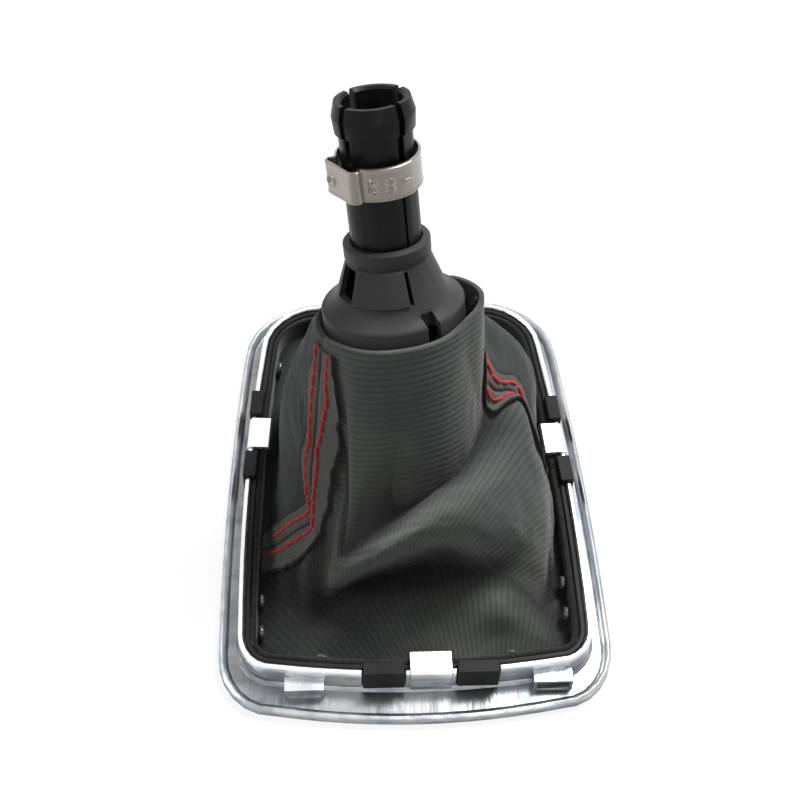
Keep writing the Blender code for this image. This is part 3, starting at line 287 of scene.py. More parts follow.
def gaiter_column(angle, flare, rise, folds):
    """One line of the gaiter: collar, halfway to the crease, the folds, and the hem's foot and top."""
    top = from_axis(FLANGE_RADIUS + GAP + CLOTH + flare * MM, angle, NECK_TOP + rise * MM)
    points = np.array(folds, float) * FOLD_SCALE
    if len(points) == 1:
        reach = np.array(PLAIN_REACH)[:, None]
        bulge = np.array([0.0, 0.0, FAR_BULGE * AXIS[2, 3]])
        plain = top + (points[0] - top) * reach + bulge * np.sin(math.pi * reach)
        points = np.concatenate([plain, points])
    hem = hem_point(hem_length_at(points[-1, :2]))
    ends = [np.append(hem, HEM_FOOT), np.append(hem, HEM_TOP)]
    return np.vstack([top, (top + points[0]) / 2, points, *ends])


def clear_of_knob(points):
    """Push cloth points out to the least radius that clears the skirt and the head by a cloth."""
    local = (points - AXIS[:3, 3]) @ AXIS[:3, :3]
    radius = np.hypot(local[..., 0], local[..., 1])
    head = HEAD_RADIUS + CLOTH + 2 * GAP
    neck = FLANGE_RADIUS + CLOTH + GAP
    crown = CROWN_RADIUS + CLOTH + 2 * GAP
    heights = (-KNOB_LENGTH - 3 * MM, -KNOB_LENGTH, -0.85 * KNOB_LENGTH, -2 * SKIRT_HEIGHT, -SKIRT_HEIGHT)
    least = np.interp(local[..., 2], heights, (0.0, crown, head, head, neck))
    grow = np.maximum(least / np.maximum(radius, SMALL), 1.0)
    local = np.stack([local[..., 0] * grow, local[..., 1] * grow, local[..., 2]], -1)
    return local @ AXIS[:3, :3].T + AXIS[:3, 3]


def inside_hem(points):
    """Pull cloth points that lie lower than the carrier's hooks back inside the hem line."""
    outward = unit(np.column_stack([HEM_RUN[:, 1], -HEM_RUN[:, 0]]))
    past = np.einsum("...k,nk->...n", points[..., :2], outward) - (HEM_LINE * outward).sum(1)
    worst = past.argmax(-1)
    over = np.take_along_axis(past, worst[..., None], -1)[..., 0]
    fade = np.clip((HOOK_HEIGHT + HOOK_CLEARANCE - points[..., 2]) / HOOK_FADE, 0.0, 1.0)
    moved = points.copy()
    moved[..., :2] -= (np.maximum(over, 0.0) * fade)[..., None] * outward[worst]
    moved[..., 2] = np.maximum(moved[..., 2], HEM_FLOOR)
    return moved


def softened(values, along, around):
    """A grid that closes round the knob, averaged with its neighbours a number of times each way."""
    for _ in range(along):
        values = values.copy()
        values[1:-1] = (values[:-2] + 2 * values[1:-1] + values[2:]) / 4
    for _ in range(around):
        values = (np.roll(values, 1, axis=1) + 2 * values + np.roll(values, -1, axis=1)) / 4
    return values


def gaiter_surface():
    """The whole gaiter's outer face as a grid that closes round the knob, and its normals.

    Smooth curves run round the knob through the gaiter's lines, then down through those curves. The
    rows near the hem are moved onto the hem line, and what would touch the knob is pushed out.
    """
    cage = np.array([gaiter_column(*column) for column in GAITER_FOLDS])
    places = np.arange(len(cage) * PER_COLUMN) / PER_COLUMN
    around = np.swapaxes(through(cage, places, True), 0, 1)
    height = np.linspace(0.0, len(around) - 1.0, ROWS)
    down = softened(through(around, height), *CLOTH_SOFTENING)
    near_hem = np.clip((height - len(around) + 4) / 2, 0.0, 1.0)[:, None, None]
    lengths = np.array([hem_length_at(column[-1, :2]) for column in cage])
    lengths = np.unwrap(np.append(lengths, lengths[0]), period=HEM_STATIONS[-1])
    hem = hem_point(np.interp(places, np.arange(len(lengths)), lengths))
    foot = down[np.searchsorted(height, len(around) - 2.0), :, :2]
    down[..., :2] += near_hem * (hem - foot)
    grid = inside_hem(clear_of_knob(down))
    across = np.roll(grid, -1, axis=1) - np.roll(grid, 1, axis=1)
    normal = unit(softened(unit(np.cross(np.gradient(grid, axis=0), across)), *FACING_SOFTENING))
    return grid, normal


SURFACE, FACING = gaiter_surface()


def read_rows(values, length, where):
    """Values along each row of a grid, read at given lengths along it."""
    return np.stack([read_line(*row) for row in zip(values, length, where)])


def columns_between(start, stop):
    """The gaiter's grid from one of its columns to another: places, normals and lengths along rows."""
    index = np.arange(start, stop + 1) % SURFACE.shape[1]
    return SURFACE[:, index], FACING[:, index], run_length(SURFACE[:, index], 1)


def beside_seam(seam, offsets):
    """Places and normals on the gaiter at signed distances from a seam, for every row.

    Distances run along each row, and are positive in the direction in which the lines are listed.
    """
    middle, reach = seam * PER_COLUMN, 3 * PER_COLUMN
    part, facing, length = columns_between(middle - reach, middle + reach)
    length = length - length[:, reach:reach + 1]
    offsets = np.broadcast_to(offsets, (ROWS, *np.shape(offsets)[-1:]))
    return read_rows(part, length, offsets), unit(read_rows(facing, length, offsets))


def panel_grid(first, last, columns):
    """One panel between two seams, with evenly spaced columns: places, normals and flat distances."""
    part, facing, length = columns_between(first * PER_COLUMN, last * PER_COLUMN)
    where = length[:, -1:] * np.linspace(0.0, 1.0, columns)
    place = read_rows(part, length, where)
    return place, unit(read_rows(facing, length, where)), where, run_length(place)


def add_object(name, data):
    """A new object for some data, linked to the scene."""
    made = bpy.data.objects.new(name, data)
    bpy.context.scene.collection.objects.link(made)
    return made


def mesh_object(name, points, faces, finish, uv=None):
    """A mesh piece at the origin, smooth, with a material and, if given, a UV for each point."""
    mesh = bpy.data.meshes.new(name)
    faces = faces if isinstance(faces, list) else faces.tolist()
    mesh.from_pydata(points.reshape(-1, 3).tolist(), [], faces)
    mesh.materials.append(finish)
    if uv is not None:
        layer = mesh.uv_layers.new(name="flat")
        corners = np.zeros(len(mesh.loops), np.int32)
        mesh.loops.foreach_get("vertex_index", corners)
        layer.data.foreach_set("uv", uv.reshape(-1, 2)[corners].astype(np.float32).ravel())
    mesh.shade_smooth()
    mesh.validate()
    return add_object(name, mesh)


def grid_faces(rows, columns, wrap_rows=False, wrap_columns=False):
    """The quads of a grid, which may close on itself either way."""
    index = np.arange(rows * columns).reshape(rows, columns)
    if wrap_rows:
        index = np.concatenate([index, index[:1]])
    if wrap_columns:
        index = np.concatenate([index, index[:, :1]], axis=1)
    return np.stack([index[:-1, :-1], index[1:, :-1], index[1:, 1:], index[:-1, 1:]], -1).reshape(-1, 4)


def shell_object(name, outer, inner, finish, uv):
    """A closed shell between two grids of points of the same shape, whose outer face looks out."""
    rows, columns = outer.shape[:2]
    index = np.arange(rows * columns).reshape(rows, columns)
    top = grid_faces(rows, columns)
    rim = np.concatenate([index[0, :-1], index[:-1, -1], index[-1, :0:-1], index[:0:-1, 0]])
    beside = np.roll(rim, -1)
    side = np.column_stack([rim, beside, beside + index.size, rim + index.size])
    faces = np.concatenate([top, top[:, ::-1] + index.size, side])
    return face_out(mesh_object(name, np.stack([outer, inner]), faces, finish, np.stack([uv, uv])))


def face_out(piece):
    """Turn a closed mesh's faces to point out."""
    work = bmesh.new()
    work.from_mesh(piece.data)
    bmesh.ops.recalc_face_normals(work, faces=work.faces)
    work.to_mesh(piece.data)
    work.free()
    return piece


def settle(piece, slot, *nodes):
    """Ride a piece on the one body and hide the solids that it stands for; its slot is not used."""
    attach(piece, "root")
    if nodes:
        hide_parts(*nodes)
    return piece


def smooth_copy(node, finish, bevel=0.0, angle=32.0):
    """A CAD solid with its corners welded, shaded smooth and, if asked, its edges eased.
    """
    mesh = NODES[node].data.copy()
    work = bmesh.new()
    work.from_mesh(mesh)
    bmesh.ops.remove_doubles(work, verts=work.verts, dist=WELD)
    bmesh.ops.dissolve_limit(work, angle_limit=FLAT_ANGLE, verts=work.verts, edges=work.edges)
    work.to_mesh(mesh)
    work.free()
    mesh.materials.clear()
    mesh.materials.append(finish)
    mesh.shade_smooth()
    mesh.set_sharp_from_angle(angle=math.radians(angle))
    piece = add_object(node + "_finished", mesh)
    if bevel:
        ease = piece.modifiers.new("eased_edges", "BEVEL")
        ease.width = bevel
        ease.segments = 2
        ease.limit_method = "ANGLE"
        ease.angle_limit = EASED_ANGLE
        ease.harden_normals = True
    return settle(piece, finish.name.split(".")[0], node)


class Wire:
    """A socket in a node tree, so that shader maths reads as an expression."""

    def __init__(self, graph, socket):
        self.graph = graph
        self.socket = socket

    def maths(self, operation, *others):
        """A Math node fed by this socket and others."""
        return self.graph.node("ShaderNodeMath", {"operation": operation}, [self, *others])

    def __add__(self, other):
        return self.maths("ADD", other)

    def __sub__(self, other):
        return self.maths("SUBTRACT", other)

    def __mul__(self, other):
        return self.maths("MULTIPLY", other)

    def __pow__(self, other):
        return self.maths("POWER", other)

    def __rsub__(self, other):
        return self.graph.node("ShaderNodeMath", {"operation": "SUBTRACT"}, [other, self])

    __radd__ = __add__
    __rmul__ = __mul__

    def wave(self):
        """A sine of this value, moved to run from 0 to 1."""
        return self.maths("SINE") * 0.5 + 0.5

    def held(self):
        """This value kept between 0 and 1."""
        return self.graph.node("ShaderNodeClamp", {}, [self])

    def step(self, low, high):
        """A smooth step from 0 at low to 1 at high."""
        return self.graph.node("ShaderNodeMapRange", {"interpolation_type": "SMOOTHSTEP"},
                               [self, low, high, 0.0, 1.0])


class Graph:
    """A node tree whose nodes are all added by one method."""

    def __init__(self, tree):
        self.tree = tree

    def fill(self, socket, value):
        """Link a socket to a wire or give it a value; a colour may be three numbers."""
        if isinstance(value, Wire):
            self.tree.links.new(value.socket, socket)
        elif hasattr(value, "__len__") and len(value) == 3 and socket.type == "RGBA":
            socket.default_value = (*value, 1.0)
        else:
            socket.default_value = value

    def node(self, kind, settings=None, values=(), output=0):
        """Add a node: its type, its settings, its sockets' values by order or name, and its output."""
        made = self.tree.nodes.new(kind)
        for label, value in (settings or {}).items():
            setattr(made, label, value)
        for label, value in values.items() if isinstance(values, dict) else enumerate(values):
            self.fill(made.inputs[label], value)
        return None if output is None else Wire(self, made.outputs[output])

    def parts(self, vector):
        """The three numbers of a vector."""
        split = self.node("ShaderNodeSeparateXYZ", {}, [vector])
        return [Wire(self, socket) for socket in split.socket.node.outputs]

    def blend(self, factor, first, second):
        """A colour between two, by a factor."""
        return self.node("ShaderNodeMix", {"data_type": "RGBA"}, {0: factor, 6: first, 7: second}, 2)

    def shaded(self, colour, shade):
        """A colour made darker or lighter by a number, through a Vector Math scale."""
        return self.node("ShaderNodeVectorMath", {"operation": "SCALE"}, {"Vector": colour, "Scale": shade})

    def seen_directly(self):
        """A number that is 1 for camera, glossy and transmission rays and 0 for the rest."""
        camera, glossy, passing = (self.node("ShaderNodeLightPath", output=label)
                                   for label in ("Is Camera Ray", "Is Glossy Ray", "Is Transmission Ray"))
        return camera.maths("MAXIMUM", glossy).maths("MAXIMUM", passing)


class Finish(Graph):
    """One material: a Principled shader and the nodes that feed it."""

    def __init__(self, name, colour, **settings):
        self.material = bpy.data.materials.new(name)
        self.material.use_nodes = True
        self.material.diffuse_color = (*colour, 1.0)
        super().__init__(self.material.node_tree)
        self.shader = self.tree.nodes["Principled BSDF"]
        self.body = self.node("ShaderNodeTexCoord", output="Object")
        self.set("Base Color", colour)
        for label, value in settings.items():
            self.set(label.replace("_", " "), value)

    def set(self, label, value):
        """Give one of the shader's sockets a value or a link."""
        self.fill(self.shader.inputs[label], value)

    def flat(self):
        """The two numbers of the piece's own UV."""
        return self.parts(self.node("ShaderNodeTexCoord", output="UV"))[:2]

    def noise(self, scale, detail=3.0, roughness=0.5, vector=None):
        """Noise from 0 to 1, in the object's coordinates or in others."""
        return self.node("ShaderNodeTexNoise", {}, {"Vector": vector or self.body, "Scale": scale,
                                                    "Detail": detail, "Roughness": roughness})

    def done(self, colour, rough, height, distance, strength):
        """Feed the shader's colour, its roughness unless None, and its normal from a height, in metres
        at height 1; give the material."""
        bump = {"Height": height, "Distance": distance, "Strength": strength}
        self.set("Base Color", colour)
        self.set("Normal", self.node("ShaderNodeBump", {}, bump))
        if rough is not None:
            self.set("Roughness", rough)
        return self.material


def toned(colour, *tones):
    """A colour whose three numbers are scaled by three tones, or all by one."""
    return [value * tone for value, tone in zip(colour, tones * (3 // len(tones)))]


# Ribs of the near panel: the distance at which the picture is measured, how gently a fan of ribs
# starts, and for each fan its middle in the picture, the reach that turns its angle into a length, and
# the stations at which it starts, by the gaiter's lines
PICTURE_REACH = 425 * MM
RIB_BEND = 0.3
RIB_FANS = (
    ((-16.4 * MM, -94.8 * MM), 78 * MM, ((0, 2, 3.5, 10), (4.0, 3.2, 2.1, 2.0))),
    ((31.7 * MM, -144.9 * MM), 75 * MM, ((0, 6, 7.5, 10), (4.8, 5.0, 7.2, 8.5))),
)

# Shade in the near panel's folds: a row for each station down the gaiter, with a value at each of the
# lines in SHADE_LINES
SHADE_LINES = (0, 2.5, 4.5, 6, 7.5, 10)
FOLD_SHADES = (
    (0.0, 0.0, 0.0, 0.0, 0.0, 0.0),
    (0.0, 0.0, 0.0, 0.1, 0.1, 0.0),
    (0.2, 0.35, 0.45, 0.5, 0.45, 0.3),
    (0.0, 0.0, -0.1, -0.1, -0.1, 0.3),
    (0.4, 0.1, 0.35, 0.0, 0.0, 0.5),
    (0.8, 0.9, 1.1, 0.7, -0.1, 0.6),
    (0.85, 0.8, 0.6, 0.1, 0.8, 0.9),
    (0.85, 0.55, -0.25, 0.3, 0.95, 0.95),
    (0.85, 0.7, 0.5, 0.6, 0.95, 0.95),
    (0.9, 0.9, 0.9, 0.9, 0.95, 0.95),
)
FOLD_DEPTH = 3.0 * MM
FOLD_SHARE = 0.7
FOLD_PASSES = 120
FOLD_MARGIN = 40
HEM_SHADE = ((7.4, 7.94), (0.0, 0.9))

# Seam allowances and stitches: tables of stations and millimetres beside the seam
STRIP_LIFT = 0.9 * MM
STRIP_CLOTH = 0.6 * MM
STRIP_CURL = 1.3 * MM
STRIP_START = 0.35 * MM
STRIP_COLUMNS = 15
STRIP_ROW = 0.65 * MM
NEAR_LEFT_WIDTHS = ((0, 0.4, 0.8, 1.15, 1.4, 1.7, 2.0, 2.4, 3, 6, 9),
                    (5.5, 6.5, 8, 10, 8.4, 9.5, 8.8, 8, 9, 10, 10))
FAR_LEFT_WIDTHS = ((0, 0.4, 0.7, 1.05, 1.35, 1.6, 1.85, 2.3, 3, 6, 9),
                   (3, 3.6, 5, 8, 7.4, 5.4, 4, 5, 6, 6.5, 6))
NEAR_RIGHT_WIDTHS = ((0, 1, 2, 4, 6, 9), (6, 5, 6.5, 6, 6.5, 6))
FAR_RIGHT_WIDTHS = ((0, 1, 2, 4, 6, 9), (6, 7, 6, 6.5, 6, 6))
NEAR_LEFT_ROW = ((0, 0.3, 0.7, 1.0, 1.3, 1.7, 2.0, 2.4, 3, 9),
                 (4.6, 3.6, 3.2, 4.0, 3.2, 2.6, 1.8, 2.6, 2.9, 2.9))
FAR_LEFT_ROW = ((0, 0.5, 1.0, 1.6, 2.0, 2.4, 3, 9), (2.5, 1.8, 2.5, 2.2, 1.5, 2.6, 2.9, 2.9))
RIGHT_ROW = ((0, 9), (2.8, 2.8))
LEFT_STRIP_ROWS = (4, 168)
RIGHT_STRIP_ROWS = (3, 168)
STITCH_ROWS = (4, 160)
THREAD_RINGS = 7
THREAD_SIDES = 8


def view_axes():
    """The photograph's directions in the world: ahead, to the right and up in the picture."""
    yaw, pitch, roll = CAMERA_TURN
    ahead = np.array([math.sin(yaw) * math.cos(pitch), math.cos(yaw) * math.cos(pitch), -math.sin(pitch)])
    level = np.array([math.cos(yaw), -math.sin(yaw), 0.0])
    up = np.cross(level, ahead)
    return ahead, math.cos(roll) * level + math.sin(roll) * up, math.cos(roll) * up - math.sin(roll) * level


def rib_lengths(place, width):
    """Flat coordinates of the ribbed panel: how far along the ribs and how far across them.

    Round the collar the ribs lie level with it. Past each line of a small table, given as stations for
    the gaiter's lines, they fan out in the photograph from a point below. Each fan is shifted so that
    its ribs meet the ones before it along the line.
    """
    rows, columns = place.shape[:2]
    ahead, right, above = view_axes()
    sight = place - np.array(CAMERA_PLACE)
    seen = PICTURE_REACH * np.stack([sight @ right, sight @ above], -1) / (sight @ ahead)[..., None]
    station = np.linspace(0, LAST_STATION, rows)[:, None]
    line = np.linspace(0, RIGHT_SEAM, columns)
    flat = np.stack([width, place @ AXIS[:3, 2]], -1)
    for middle, reach, border in RIB_FANS:
        spoke = seen - np.array(middle)
        angle = np.arctan2(spoke[..., 1], spoke[..., 0])
        fan = -np.stack([np.linalg.norm(spoke, axis=-1), reach * angle], -1)
        past = np.clip((station - np.interp(line, *border)) / RIB_BEND + 0.5, 0.0, 1.0)[..., None]
        shared = past * (1 - past)
        fan += ((flat - fan) * shared).sum((0, 1)) / shared.sum()
        flat = flat + (fan - flat) * past
    return flat


def painted_fold_shading(place, facing, ribbed):
    """Painted shade for each point of a panel, by how deep it lies in its folds: 1 in a hollow or at the
    hem, -1 on a crest, where light is painted instead.

    It is the height of the panel's average round the point over the point itself. The ribbed panel
    adds a small table of painted shade for the places that the folds over them keep from the light.
    """
    margin = FOLD_MARGIN
    wide = np.pad(place, ((0, 0), (margin, margin), (0, 0)), mode="reflect", reflect_type="odd")
    level = softened(wide, FOLD_PASSES, FOLD_PASSES)[:, margin:-margin]
    depth = FOLD_SHARE * np.clip(((level - place) * facing).sum(-1) / FOLD_DEPTH, -1.0, 1.0)
    station = np.linspace(0, LAST_STATION, len(place))
    if ribbed:
        line = np.linspace(0, RIGHT_SEAM, place.shape[1])
        across = np.stack([np.interp(line, SHADE_LINES, row) for row in FOLD_SHADES])
        stations = np.arange(LAST_STATION + 1)
        depth = depth + np.stack([np.interp(station, stations, column) for column in across.T], -1)
    hem = np.interp(station, *HEM_SHADE)[:, None]
    return np.clip(np.where(hem > 0, np.maximum(depth, hem), depth), -1.0, 1.0)


def soft_noise(shape, cells, seed):
    """Smooth random values from -1 to 1 on a grid: a coarse random grid with curves through it."""
    coarse = np.random.default_rng(seed).uniform(-1.0, 1.0, (cells[0] + 1, cells[1] + 1, 1))
    tall = through(coarse, np.linspace(0, cells[0], shape[0]))
    wide = through(np.swapaxes(tall, 0, 1), np.linspace(0, cells[1], shape[1]))
    return np.swapaxes(wide, 0, 1)[..., 0]


def row_noise(cells, seed):
    """Smooth random values from -1 to 1, one for each row."""
    return soft_noise((ROWS, 2), (cells, 1), seed)[:, 0]


def cloth_panel(name, first, last, columns, finish, seed, ribbed, wrinkle):
    """One gaiter panel: the surface between two seams, wrinkled along its normals, as a closed shell.

    The wrinkles are two layers of smooth noise, weak where the collar stretches the cloth and strong
    in the folds, and they end at the seams.
    """
    place, facing, where, down = panel_grid(first, last, columns)
    station = np.linspace(0, LAST_STATION, ROWS)[:, None]
    slack = np.interp(station, *SLACK)
    edge = np.minimum(where, where[:, ::-1]) / SEAM_REACH
    depth = wrinkle * slack * np.clip(edge, 0.0, 1.0)
    shape = place.shape[:2]
    waves = soft_noise(shape, WIDE_WRINKLES, seed)
    waves = waves + FINE_SHARE * soft_noise(shape, FINE_WRINKLES, seed + 1)
    outer = place + facing * (depth * waves)[..., None]
    flat = rib_lengths(place, where) if ribbed else np.stack([where, down], -1)
    piece = shell_object(name, outer, outer - facing * CLOTH, finish, flat)
    # Painted shade of the folds and the hem, and painted light on the crests, kept on the mesh for the
    # cloth's colour
    depth = painted_fold_shading(place, facing, ribbed).ravel()
    layer = piece.data.attributes.new("painted_fold_shading", "FLOAT", "POINT")
    layer.data.foreach_set("value", np.tile(depth, 2).astype(np.float32))
    return piece


def strip(name, seam, side, widths, rows, finish, seed):
    """A seam allowance: a thin closed shell beside a seam, from the seam to its raw edge.

    Its width follows a table down the gaiter. Across it, the lift over the cloth starts at the seam,
    holds, and waves up and down at the raw edge.
    """
    width = np.interp(np.linspace(0, LAST_STATION, ROWS), *widths) * MM
    width = width * (1 + 0.05 * row_noise(60, seed)) + 0.25 * MM * row_noise(22, seed + 1)
    share = np.linspace(0.0, 1.0, STRIP_COLUMNS)
    place, facing = beside_seam(seam, side * (STRIP_START + np.outer(width - STRIP_START, share)))
    wave = 0.5 + 0.5 * row_noise(11, seed + 2)
    lift = STRIP_LIFT * np.clip(share / 0.12, 0.3, 1.0) + STRIP_CURL * np.outer(wave, share ** 3)
    lift = lift + 0.15 * MM * soft_noise((ROWS, STRIP_COLUMNS), (30, 3), seed + 3)
    outer = (place + facing * lift[..., None])[slice(*rows)]
    inner = outer - facing[slice(*rows)] * STRIP_CLOTH
    flat = paired(share, np.arange(*rows)[:, None] * STRIP_ROW)
    return shell_object(name, outer, inner, finish, flat)


def stitches(name, seam, side, row, finish, sizes):
    """A row of stitches beside a seam: short bowed threads, each a tube of seven rings of eight.

    A thread's middle stands over the strip and its ends dip into it, as a half sine raised to a small
    power, and its radius narrows towards the ends in the same way.
    """
    offset = side * np.interp(np.linspace(0, LAST_STATION, ROWS), *row)[:, None] * MM
    place, facing = (values[slice(*STITCH_ROWS), 0] for values in beside_seam(seam, offset))
    length = run_length(place)
    pitch = sizes.stitch_length + sizes.stitch_gap
    thread = 0.5 * sizes.thread_diameter
    count = int(length[-1] / pitch)
    share = np.linspace(0.0, 1.0, THREAD_RINGS)
    where = (np.arange(count) * pitch)[:, None] + sizes.stitch_length * share + 0.5 * sizes.stitch_gap
    points, out = read_line(place, length, where), unit(read_line(facing, length, where))
    bow = np.maximum(np.sin(math.pi * share), 0.0) ** 0.25
    points += out * (STRIP_LIFT + thread * (1.5 * bow - 0.7))[None, :, None]
    ahead = unit(np.gradient(points, axis=1))
    sideways = unit(np.cross(ahead, out))
    above = np.cross(sideways, ahead)
    turn = np.linspace(0, math.tau, THREAD_SIDES, endpoint=False)
    radius = thread * (0.75 + 0.25 * bow)[None, :, None, None]
    ring = np.cos(turn)[:, None] * sideways[:, :, None] + np.sin(turn)[:, None] * above[:, :, None]
    tube = points[:, :, None] + radius * ring
    ends = np.array([[0, 1, 2, 3], [0, 3, 4, 7], [4, 5, 6, 7]])
    far_ends = ends[:, ::-1] + (THREAD_RINGS - 1) * THREAD_SIDES
    faces = np.concatenate([grid_faces(THREAD_RINGS, THREAD_SIDES, wrap_columns=True), ends, far_ends])
    faces = faces + np.arange(count)[:, None, None] * THREAD_RINGS * THREAD_SIDES
    flat = paired(turn / math.tau, where[:, :, None])
    return face_out(mesh_object(name, tube, faces.reshape(-1, 4), finish, flat))


# Clamp, with angles in degrees on the sleeve: its overlapping end, its pressed marks and its dimple
CLAMP_STATIONS = 420
CLAMP_ROWS = 44
CLAMP_EDGE = 0.3 * MM
EAR_BEND = 0.9 * MM
CLAMP_HOOKS = (-99.0, -77.0)
CLAMP_DASH = -52.0
CLAMP_MARK = 0.6 * MM
HOOK_RINGS = (-0.95 * MM, 0.95 * MM)
HOOK_RING = (0.75 * MM, 0.33 * MM)
DASH_HALF = (1.5 * MM, 0.5 * MM)
TONGUE_ANGLES = (-121.0, -40.0)
TONGUE_LIFT = 0.4 * MM
DIMPLE_ANGLE = EAR_ANGLE - 14.0

# The collar's front panel, between two angles and two heights, and the rivets' places and profile
FRONT_PANEL = (-137.5, -71.5, 4.6 * MM, 14.6 * MM)
FRONT_PANEL_LIFT = 0.5 * MM
FRONT_PANEL_WIDTH = 15 * MM
FRONT_PANEL_GRID = (31, 61)
STUD_SPOTS = ((-46, -56), (-47, -45), (-45, 50), (-29, 68), (-9, 69), (9, 69), (29, 68), (45, 50),
              (47, -41), (46, -52), (28, -70), (-28, -70))
STUD_SEAT = 0.95 * MM
STUD_RADIUS = 2.1 * MM
STUD_SIDES = 24
STUD_CROWN = 0.5 * MM
STUD_PROFILE = ((0.5, 0.48), (0.9, 0.38), (1.15, 0.5), (1.35, 0.95), (1.6, 1.2), (1.85, 1.15),
                (2.05, 0.8), (2.1, 0.3), (2.1, 0.0))


def clamp_outline():
    """The clamp's inner line seen along its axis, at equal lengths: a circle that opens into an ear."""
    inner = SLEEVE_RADIUS + CLAMP_CLEARANCE
    half = EAR_LENGTH / 2
    foot = math.asin((half - EAR_BEND) / inner)
    turn = np.linspace(foot, math.tau - foot, 160)
    top = inner + EAR_REACH - CLAMP_BAND
    bend = 0.3 * EAR_BEND
    side = [(top - EAR_BEND, half), (top - bend, half - bend), (top, half - EAR_BEND)]
    ear = [(out, -along) for out, along in side] + side[::-1]
    loop = np.concatenate([inner * np.column_stack([np.cos(turn), np.sin(turn)]), ear])
    middle = math.radians(EAR_ANGLE)
    cosine, sine = math.cos(middle), math.sin(middle)
    loop = loop @ np.array([[cosine, sine], [-sine, cosine]])
    loop = np.concatenate([loop, loop[:1]])
    length = run_length(loop)
    where = np.linspace(0.0, length[-1], CLAMP_STATIONS, endpoint=False)
    return softened(read_line(loop, length, where)[None], 0, 2)[0]


def clamp_relief(angle, radius, height):
    """How far the clamp's outer face stands proud of its plain band, at an angle and a height.

    The band's overlapping end is a step with soft edges, the hooks are pairs of rings, the dash is a
    long bump, and the ear has a round dimple.
    """
    def arc(middle):
        return np.radians(angle) * radius - math.radians(middle) * radius

    first, last = TONGUE_ANGLES
    relief = TONGUE_LIFT * np.clip((angle - first) / 2.0, 0, 1) * np.clip((last - angle) / 2.0, 0, 1)
    for middle in CLAMP_HOOKS:
        for centre in HOOK_RINGS:
            reach = np.hypot(arc(middle), height - centre)
            relief = relief + CLAMP_MARK * np.exp(-((reach - HOOK_RING[0]) / HOOK_RING[1]) ** 2)
    dash = np.exp(-(arc(CLAMP_DASH) / DASH_HALF[0]) ** 4) * np.exp(-(height / DASH_HALF[1]) ** 4)
    spot = np.hypot(arc(DIMPLE_ANGLE), height + 0.4 * MM)
    dimple = np.exp(-((spot - 1.5 * MM) / (0.45 * MM)) ** 2) - 0.8 * np.exp(-(spot / (1.1 * MM)) ** 4)
    return relief + CLAMP_MARK * dash + 0.5 * MM * dimple


def clamp_band(finish):
    """The ear clamp: a band carried round its outline, as a closed ring with rounded edges."""
    inner = clamp_outline()
    run = unit(np.roll(inner, -1, axis=0) - np.roll(inner, 1, axis=0))
    outward = np.column_stack([run[:, 1], -run[:, 0]])
    height = np.linspace(-CLAMP_WIDTH / 2, CLAMP_WIDTH / 2, CLAMP_ROWS)
    radius = np.linalg.norm(inner, axis=1)
    angle = np.degrees(np.arctan2(inner[:, 1], inner[:, 0]))
    edge = np.clip((CLAMP_WIDTH / 2 - abs(height)) / CLAMP_EDGE, 0.0, 1.0)
    round_off = CLAMP_EDGE * (1.0 - np.sqrt(1.0 - (1.0 - edge) ** 2))
    relief = clamp_relief(angle[None], radius[None], height[:, None])
    rim = 0.15 * MM * np.exp(-((CLAMP_WIDTH / 2 - abs(height) - 0.5 * MM) / (0.3 * MM)) ** 2)
    depth = CLAMP_BAND + relief * edge[:, None] + (rim - round_off)[:, None]
    outer = inner[None] + outward[None] * depth[..., None]
    low = inner[None] + outward[None] * (0.3 * round_off)[:, None, None]
    layers = [np.concatenate([face, np.broadcast_to(height[:, None, None], (*face.shape[:2], 1))], -1)
              for face in (outer, low)]
    lean = math.radians(CLAMP_TILT)
    shift = CLAMP_CLEARANCE - GAP - CLAMP_WIDTH / 2 * math.sin(lean)
    seat = Matrix.Translation((0.0, -shift, CLAMP_BASE + CLAMP_WIDTH / 2)) @ Matrix.Rotation(lean, 4, "X")
    place = AXIS @ np.array(seat)
    points = np.concatenate([layers[0], layers[1][::-1]]) @ place[:3, :3].T + place[:3, 3]
    faces = grid_faces(2 * CLAMP_ROWS, CLAMP_STATIONS, wrap_rows=True, wrap_columns=True)
    flat = paired(np.arange(CLAMP_STATIONS) * 0.2 * MM, np.concatenate([height, height[::-1]])[:, None])
    return face_out(mesh_object("ear_clamp_band", points, faces, finish, flat))


def front_panel(finish):
    """The raised panel on the front of the collar's cone: a patch between two angles and two heights.

    Its lift over the cone is full in the middle and falls to its own border as a steep ramp.
    """
    left, right, foot, top = FRONT_PANEL
    up, across = (np.linspace(0.0, 1.0, count) for count in FRONT_PANEL_GRID)
    up = up[:, None]
    angle = left + (right - left) * across
    height = foot + (top - foot) * up
    radius = np.interp(height, (CONE_FOOT[0], CONE_TOP[0]), (CONE_FOOT[1], CONE_TOP[1]))
    border = np.minimum(np.minimum(up, 1 - up) * (top - foot),
                        np.minimum(across, 1 - across) * FRONT_PANEL_WIDTH)
    lift = FRONT_PANEL_LIFT * np.clip(border / (0.5 * MM), 0.0, 1.0) ** 0.6
    outer = from_axis(radius + 0.05 * MM + lift, angle, height)
    inner = from_axis(radius - 0.6 * MM, angle, height)
    piece = shell_object("collar_front_panel", outer, inner, finish, paired(across, up))
    return settle(piece, "black_nylon")


